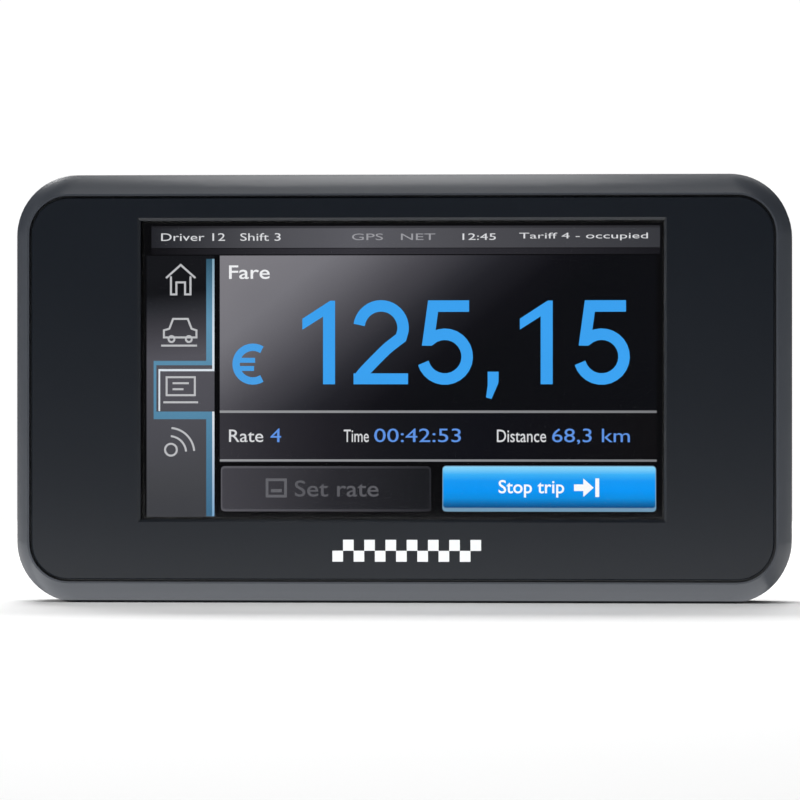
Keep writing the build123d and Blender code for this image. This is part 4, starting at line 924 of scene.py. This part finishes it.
    def build_fare_area(self) -> None:
        """The fare: its label, the currency sign and the large figures on a slanting grey sheen."""
        sheen = self.glow("lit crystal, fare ground", [
            (0, "#7f7d82"), (0.28, "#75747a"), (0.46, "#56555b"), (0.54, "#46454b"), (0.67, "#2c2c32"),
            (0.74, "#1f1f25"), (0.88, "#0c0c12"), (1, "#07080d"),
        ], start=(-33.6, 21.0), way=(28.0, -35.0))
        self.lay("fare_ground", 1, sheen, [rounded(-33.6, 46.5, -7.4, 21.0)])
        one = [(-12.4, -2.6), (-12.4, 12.7), (-13.3, 12.7), (-18.4, 9.4),
               (-18.4, 7.4), (-14.6, 9.8), (-14.6, -2.6)]
        comma = [(17.6, -2.3), (17.6, -0.3), (15.6, -0.3), (15.6, -2.8), (15.3, -5.0), (16.3, -5.3)]
        two = [*arc(-3.95, 7.7, 4.05, 172, -8, 20),
               *smooth([(-0.3, 5.9), (-1.5, 5.0), (-3.2, 3.6), (-6.85, -0.1), (-7.9, -1.4)], 5)]
        five = [(12.2, 11.7), (5.6, 11.7), (4.75, 5.5), *arc(7.75, 2.45, 4.1, 132, -164, 22)]
        outlines = [one, shifted(one, 39.9, 0), comma, rounded(-9.0, 1.0, -2.6, -0.6)]
        for line in (two, five, shifted(five, 28.7, 0)):
            outlines += ribbon(line, self.stroke)
        self.lay("fare_figures", 3, self.glow("lit crystal, fare blue", [(0, "#3aa0ef")]), outlines)
        euro = [*ribbon(arc(-27.5, 1.1, 3.1, 58, 302, 22), 1.35), rounded(-31.0, -27.1, 1.35, 2.25),
                rounded(-31.0, -27.3, -0.15, 0.75)]
        self.lay("currency_sign", 3, self.glow("lit crystal, currency blue", [(0, "#489fe6")]), euro)
        self.write("fare_label", self.glow("lit crystal, label white", [(0, "#eeeff1")]),
                   [("Fare", (-31.9, -24.4), (16.7, 19.2), 0.008)])

    def build_trip_row(self) -> None:
        """Two fine lines with the tariff, the time and the distance between them."""
        ground = self.glow("lit crystal, row ground", [
            (0, "#36353b"), (0.13, "#28272d"), (0.25, "#1d1c22"), (0.41, "#111217"), (0.6, "#0b0c13"),
            (1, "#0a090c"),
        ], start=(-33.6, 0), way=(80, 0))
        self.lay("row_ground", 1, ground, [rounded(-33.6, 46.5, -16.9, -7.4)])
        line = self.glow("lit crystal, line grey", [(0, "#96979a"), (1, "#7a7b7e")],
                         start=(-33.6, 0), way=(80, 0))
        self.lay("row_lines", 2, line, [
            rounded(-33.6, 46.5, -7.85, -7.4), rounded(-33.6, 46.5, -16.75, -16.35),
        ])
        self.write("row_labels", self.glow("lit crystal, row white", [(0, "#d6d7da")]), [
            ("Rate", (-31.9, -25.6), (-13.2, -10.9), 0.004),
            ("Time", (-10.8, -6.2), (-13.2, -10.9), 0.004),
            ("Distance", (17.3, 26.3), (-13.2, -10.9), 0.004),
        ])
        self.write("row_values", self.glow("lit crystal, row blue", [(0, "#5f92e2")]), [
            ("4", (-24.3, -22.3), (-13.2, -10.7), 0.0),
            ("00:42:53", (-5.2, 10.7), (-13.2, -10.7), 0.0),
            ("68,3 km", (27.4, 41.6), (-13.6, -10.7), 0.0),
        ])

    def build_buttons(self) -> None:
        """The dark and the blue button at the bottom."""
        dark = self.glow("lit crystal, dark button", [(0, "#45444a"), (0.6, "#27272c"), (1, "#18191d")],
                         start=(-33.4, 0), way=(38.6, -4))
        edge = self.glow("lit crystal, button edge", [(0, "#5a595f"), (1, "#28282d")],
                         start=(-33.4, 0), way=(38.6, 0))
        self.lay("rate_button_edge", 1, edge, [rounded(-33.4, 5.2, -25.9, -17.6, 0.7)])
        self.lay("rate_button", 2, dark, [rounded(-33.15, 4.95, -25.5, -18.0, 0.5)])
        bright = self.glow("lit crystal, blue button", [
            (0, "#8bd4f8"), (0.08, "#78ccf8"), (0.2, "#3bb0f7"), (0.36, "#1398f3"), (0.6, "#0595f4"),
            (0.78, "#098cdf"), (0.9, "#0b6cb0"), (1, "#0a4c80"),
        ], start=(0, -17.6), way=(0, -7.5))
        self.lay("trip_button_edge", 1, self.glow("lit crystal, blue edge", [(0, "#7299b5")]),
                 [rounded(7.3, 46.4, -25.9, -17.5, 0.7)])
        self.lay("trip_button", 2, bright, [rounded(7.45, 46.25, -25.2, -17.65, 0.5)])
        self.write("rate_words", self.glow("lit crystal, dim grey", [(0, "#5a5a5f")]),
                   [("Set rate", (-19.8, -4.4), (-23.2, -20.2), 0.006)])
        self.lay("rate_sign", 3, self.glow("lit crystal, dim sign", [(0, "#626267")]),
                 ribbon(shifted(rounded(-1.7, 1.7, -1.5, 1.5), -23.2, -21.6), 0.5, True)
                 + [rounded(-24.2, -22.2, -22.4, -21.8)])
        self.write("trip_words", self.glow("lit crystal, button white", [(0, "#fbfcfd")]),
                   [("Stop trip", (17.6, 29.6), (-23.3, -20.1), 0.01)])
        self.lay("trip_sign", 3, self.glow("lit crystal, sign white", [(0, "#fafbfc")]), [
            rounded(31.4, 33.2, -22.1, -20.9), [(33.1, -23.2), (35.0, -21.5), (33.1, -19.8)],
            rounded(35.3, 36.0, -23.2, -19.8),
        ])


# ---- printed and fitted details ---------------------------------------------------------------
@dataclass
class ChequerStrip:
    """Two-row chequer printed in white on the face sheet, below the screen.

    Attributes:
        left: X of its left edge.
        right: X of its right edge.
        bottom: Z of its lower edge.
        square: Height of a square.
        columns: Number of squares in a row.
        ink: Thickness of the print.
    """

    left: float = -12.6
    right: float = 14.6
    bottom: float = 7.6
    square: float = 2.0
    columns: int = 14
    ink: float = 0.02

    def build(self) -> None:
        """Print every other square of both rows."""
        low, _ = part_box("face_panel")
        pitch = (self.right - self.left) / self.columns
        mesh = bmesh.new()
        for column in range(self.columns):
            x = self.left + column * pitch
            z = self.bottom + (column % 2) * self.square
            add_plate(mesh, rounded(x, x + pitch, z, z + self.square), low.y - metres(self.ink), self.ink)
        new_piece("chequer_strip", mesh, WHITE_INK)


@dataclass
class KeyMark:
    """Power sign printed on the cap of the key on top of the unit.

    Attributes:
        radius: Radius of the sign's ring.
        stroke: Width of its strokes.
        ink: Thickness of the print.
    """

    radius: float = 1.15
    stroke: float = 0.32
    ink: float = 0.02

    def build(self) -> None:
        """Print the sign; it rides on the key."""
        low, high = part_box("power_key")
        x, y = (low.x + high.x) * 500, (low.y + high.y) * 500
        lines = ribbon(arc(x, y, self.radius, 125, 415, 24), self.stroke)
        lines += ribbon([(x, y + 0.2), (x, y + self.radius + 0.3)], self.stroke)
        mesh = bmesh.new()
        for outline in lines:
            add_plate(mesh, outline, -high.z - metres(self.ink), self.ink)
        bmesh.ops.transform(mesh, matrix=Facing.TOP.value, verts=mesh.verts)
        new_piece("key_mark", mesh, WHITE_INK, "key")


@dataclass
class AntennaJacks:
    """Coaxial jacks with a cut thread, in place of the plain ones of the frame.

    Attributes:
        xs: X of each jack.
        base: Side and height of the square base on the board.
        barrel: Radius of the plain barrel.
        shoulder: Where the barrel ends, measured from the tip.
        outer: Radius over the thread.
        root: Radius at the bottom of the thread.
        pitch: Thread pitch, 36 turns to the inch.
        bore: Radius of the bore.
        depth: Depth of the bore.
        foot: Radius of the barrel where it meets the base, as a share of its own.
        outer_bevel: Bevel round the outside of the open end.
        bore_bevel: Bevel round the bore.
        run_out: Where the thread starts after the shoulder, and the length over which it fades.
        crest: Steepness of the thread's flanks.
        turn_rings: Rings of points in one turn of the thread.
        sides: Points in a ring.
    """

    xs: Point = (-14.0, -1.0)
    base: Point = (7.0, 3.0)
    barrel: float = 3.4
    shoulder: float = 6.4
    outer: float = 3.175
    root: float = 2.85
    pitch: float = 25.4 / 36
    bore: float = 2.3
    depth: float = 4.0
    foot: float = 0.98
    outer_bevel: float = 0.15
    bore_bevel: float = 0.12
    run_out: Point = (0.45, 0.3)
    crest: float = 2.6
    turn_rings: int = 12
    sides: int = 48

    def thread_radius(self, along: float, angle: float) -> float:
        """Radius of the threaded end at one point.

        Args:
            along: Distance from the shoulder towards the tip, in millimetres.
            angle: Angle round the axis, in radians.

        Returns:
            The radius, with plain ends where the thread runs out.
        """
        turn = (along / self.pitch - angle / (2 * math.pi)) % 1.0
        wave = min(1.0, self.crest * abs(2 * turn - 1))
        begin, fade = self.run_out
        cut = min(1.0, max(0.0, (along - begin) / fade), max(0.0, (self.shoulder - fade - along) / fade))
        return self.outer - (self.outer - self.root) * (1 - wave) * cut

    def build(self) -> None:
        """Build both jacks as one piece that replaces the frame's."""
        low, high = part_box("antenna_jacks")
        z = (low.z + high.z) / 2
        mesh = bmesh.new()
        for x in self.xs:
            self.add_jack(mesh, metres(x), low.y, high.y, z)
        piece = new_piece("antenna_jack_threads", mesh, GOLD_PLATE)
        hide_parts("antenna_jacks")

    def add_jack(self, mesh: bmesh.types.BMesh, x: float, back: float, tip: float, z: float) -> None:
        """Add one jack: base, barrel, threaded end and bore.

        Args:
            mesh: The mesh that it goes into.
            x: X of its axis, in metres.
            back: Y of its base, in metres.
            tip: Y of its open end, in metres.
            z: Z of its axis, in metres.
        """
        side, height = self.base
        corners = ((1, -1), (1, 1), (-1, 1), (-1, -1))
        flange = [(sx * side / 2 + x * 1000, sz * side / 2 + z * 1000) for sx, sz in corners]
        add_plate(mesh, flange, back, height)
        start = tip - metres(self.shoulder)
        rows = [
            (self.barrel * self.foot, back + metres(height), False),
            (self.barrel, back + metres(height), False),
            (self.barrel, start, False),
        ]
        steps = int(self.shoulder / self.pitch * self.turn_rings)
        rows += [(0.0, start + metres(self.shoulder) * (i / steps), True) for i in range(steps + 1)]
        rows += [
            (self.outer - self.outer_bevel, tip, False),
            (self.bore + self.bore_bevel, tip, False),
            (self.bore, tip - metres(self.bore_bevel), False),
            (self.bore, tip - metres(self.depth), False),
        ]
        rings = []
        for radius, y, threaded in rows:
            ring = []
            for i in range(self.sides):
                angle = 2 * math.pi * i / self.sides
                r = self.thread_radius((y - start) * 1000, angle) if threaded else radius
                spot = (x + metres(r) * math.cos(angle), y, z + metres(r) * math.sin(angle))
                ring.append(mesh.verts.new(spot))
            rings.append(ring)
        for a, b in zip(rings, rings[1:]):
            for i in range(self.sides):
                j = (i + 1) % self.sides
                mesh.faces.new((a[i], a[j], b[j], b[i]))
        mesh.faces.new(list(reversed(rings[0])))
        mesh.faces.new(rings[-1])


@dataclass
class RatingPrint:
    """Ruled fields printed on the blank foil plate at the back.

    Attributes:
        margin: Distance from the plate's edge.
        rule: Width of a printed line.
        rows: Heights of the lines between the fields, as shares of the plate.
        ink: Thickness of the print.
    """

    margin: float = 1.2
    rule: float = 0.25
    rows: tuple[float, ...] = (0.28, 0.5, 0.72)
    ink: float = 0.02

    def build(self) -> None:
        """Print a frame and its cross lines, facing backwards."""
        low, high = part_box("rating_plate")
        x0, x1 = -high.x * 1000 + self.margin, -low.x * 1000 - self.margin
        z0, z1 = low.z * 1000 + self.margin, high.z * 1000 - self.margin
        lines = ribbon(rounded(x0, x1, z0, z1, 0.6), self.rule, True)
        for share in self.rows:
            z = z0 + share * (z1 - z0)
            lines += ribbon([(x0, z), (x1, z)], self.rule)
        middle = x0 + 0.62 * (x1 - x0)
        lines += ribbon([(middle, z0), (middle, z0 + self.rows[-1] * (z1 - z0))], self.rule)
        mesh = bmesh.new()
        for outline in lines:
            add_plate(mesh, outline, -high.y - metres(self.ink), self.ink)
        bmesh.ops.transform(mesh, matrix=Facing.BACK.value, verts=mesh.verts)
        new_piece("rating_print", mesh, CHIP_EPOXY)


@dataclass
class GrilleGauze:
    """Woven gauze stretched behind the speaker grille.

    Attributes:
        radius: Its radius.
        thickness: Its thickness.
        gap: Distance from the inside of the rear wall.
    """

    radius: float = 9.0
    thickness: float = 0.1
    gap: float = 0.05

    def build(self) -> None:
        """Cut the disc and lay it inside the speaker's foam ring."""
        low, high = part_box("speaker_pad")
        centre = ((low.x + high.x) / 2, high.y - metres(self.gap + self.thickness), (low.z + high.z) / 2)
        mesh = bmesh.new()
        rings = [(0, 0), (self.radius, 0), (self.radius, self.thickness), (0, self.thickness)]
        add_turned(mesh, rings, centre)
        new_piece("grille_gauze", mesh, GAUZE)


# ---- the unit and the studio ------------------------------------------------------------------
@dataclass
class CarriedNodes:
    """Every node of the frame that shows as it is, dressed in its real material.

    Attributes:
        finishes: The finish of each node.
    """

    finishes: Mapping[str, Finish]

    def build(self) -> None:
        """Give every node its finish."""
        for name, node in sorted(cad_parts.items()):
            finish = self.finishes[name]
            node.data.materials.clear()
            node.data.materials.append(finish.material())
            LOG.info("%s: %s", name, finish.name)


@dataclass(frozen=True)
class Lamp:
    """One soft rectangular light.

    Attributes:
        name: What it does.
        place: Where it hangs, in metres.
        aim: The point that it faces, in metres.
        size: Its width and height, in metres.
        watts: Its power.
    """

    name: str
    place: Point3
    aim: Point3
    size: Point
    watts: float

    def build(self) -> None:
        """Hang the light, hidden from the camera itself."""
        data = bpy.data.lights.new(self.name, "AREA")
        data.shape, data.size, data.size_y, data.energy = "RECTANGLE", self.size[0], self.size[1], self.watts
        lamp = bpy.data.objects.new(self.name, data)
        lamp.location = self.place
        lamp.rotation_mode = "QUATERNION"
        lamp.rotation_quaternion = (Vector(self.aim) - Vector(self.place)).to_track_quat("-Z", "Y")
        lamp.visible_camera = False
        bpy.context.scene.collection.objects.link(lamp)
        LOG.info("lamp %s", self.name)


@dataclass
class Studio:
    """Pale floor, white surroundings, soft lights and the camera.

    Attributes:
        floor_half: Half the floor's side, in metres.
        ambient: Strength of the surroundings' own light.
        lamps: The soft lights.
        distance: Camera to front plane, in metres.
        lens: Focal length, in millimetres.
        azimuth: How far the camera stands round to the right, in degrees.
        elevation: How far it stands above the horizon, in degrees.
        aim: The point of the front plane in the middle of the view, in millimetres.
    """

    lamps: Sequence[Lamp]
    floor_half: float = 0.8
    ambient: float = 0.035
    distance: float = 1.2
    lens: float = 36 * 1.2 / 0.1460
    azimuth: float = 4.0
    elevation: float = 0.0
    aim: Point3 = (-0.22, -16.75, 37.12)

    def build(self) -> None:
        """Set the whole studio up."""
        self.build_floor()
        self.build_surroundings()
        for lamp in self.lamps:
            lamp.build()
        self.build_camera()

    def build_floor(self) -> None:
        """Lay the floor."""
        mesh = bmesh.new()
        bmesh.ops.create_grid(mesh, x_segments=8, y_segments=8, size=self.floor_half)
        data = bpy.data.meshes.new("studio_floor")
        mesh.to_mesh(data)
        mesh.free()
        data.materials.append(STUDIO_FLOOR.material())
        floor = bpy.data.objects.new("studio_floor", data)
        bpy.context.scene.collection.objects.link(floor)

    def build_surroundings(self) -> None:
        """White behind the unit, dimmer as a source of light."""
        world = bpy.data.worlds.new("studio")
        world.use_nodes = True
        tree = world.node_tree
        tree.nodes.clear()
        seen = add_node(tree, "ShaderNodeLightPath").outputs["Is Camera Ray"]
        strength = add_node(tree, "ShaderNodeMapRange", {"To Min": self.ambient, "To Max": 1.02}, {0: seen})
        backdrop = add_node(tree, "ShaderNodeBackground", {
            "Color": (1, 1, 1, 1),
        }, {"Strength": strength.outputs[0]})
        add_node(tree, "ShaderNodeOutputWorld", links={"Surface": backdrop.outputs[0]})
        bpy.context.scene.world = world
        bpy.context.scene.view_settings.view_transform = "Standard"

    def build_camera(self) -> None:
        """Stand the camera a little to the right of straight in front."""
        data = bpy.data.cameras.new("camera")
        data.sensor_width, data.lens, data.clip_end = 36.0, self.lens, 50.0
        camera = bpy.data.objects.new("camera", data)
        round_, up = math.radians(self.azimuth), math.radians(self.elevation)
        back = Vector((math.sin(round_) * math.cos(up), -math.cos(round_) * math.cos(up), math.sin(up)))
        camera.location = Vector([metres(v) for v in self.aim]) + back * self.distance
        camera.rotation_mode = "QUATERNION"
        camera.rotation_quaternion = (-back).to_track_quat("-Z", "Y")
        bpy.context.scene.collection.objects.link(camera)
        bpy.context.scene.camera = camera


LAMPS = (
    Lamp("overhead", (-0.16, 0.75, 0.75), (0.0, 0.0, 0.0), (0.7, 0.4), 8.8),
    Lamp("rim_light", (-0.02, 0.03, 0.34), (-0.015, 0.0, 0.08), (0.10, 0.10), 0.16),
    Lamp("key", (0.9, -1.1, 1.0), (0.0, 0.0, 0.04), (0.7, 0.7), 2.0),
    Lamp("left_strip", (-0.9, -0.3, 0.3), (0.0, 0.0, 0.04), (0.3, 0.8), 4.6),
    Lamp("right_strip", (0.9, -0.4, 0.2), (0.0, 0.0, 0.04), (0.3, 0.4), 0.8),
    Lamp("floor_card", (0.0, -0.085, 0.002), (0.0, -0.085, 1.0), (0.30, 0.12), 0.10),
    Lamp("edge_card", (-0.006, -0.0210, 0.0004), (-0.006, -0.0210, 1.0), (0.150, 0.018), 0.0100),
    Lamp("floor_wash", (0.0, -1.0, 1.6), (0.0, -0.5, 0.0), (1.6, 1.0), 15.0),
    Lamp("back_wash", (0.0, 1.4, 1.2), (0.0, 0.4, 0.0), (1.6, 0.8), 14.0),
)


def main() -> None:
    """Build every sub-assembly in order, then the studio."""
    logging.basicConfig(level=logging.INFO, format="%(name)s: %(message)s")
    for group in (CarriedNodes(NODE_FINISHES), MeterDisplay(), ChequerStrip(), KeyMark(), AntennaJacks(),
                  RatingPrint(), GrilleGauze(), Studio(LAMPS)):
        LOG.info("building %s", type(group).__name__)
        group.build()


if __name__ == "__main__":
    main()
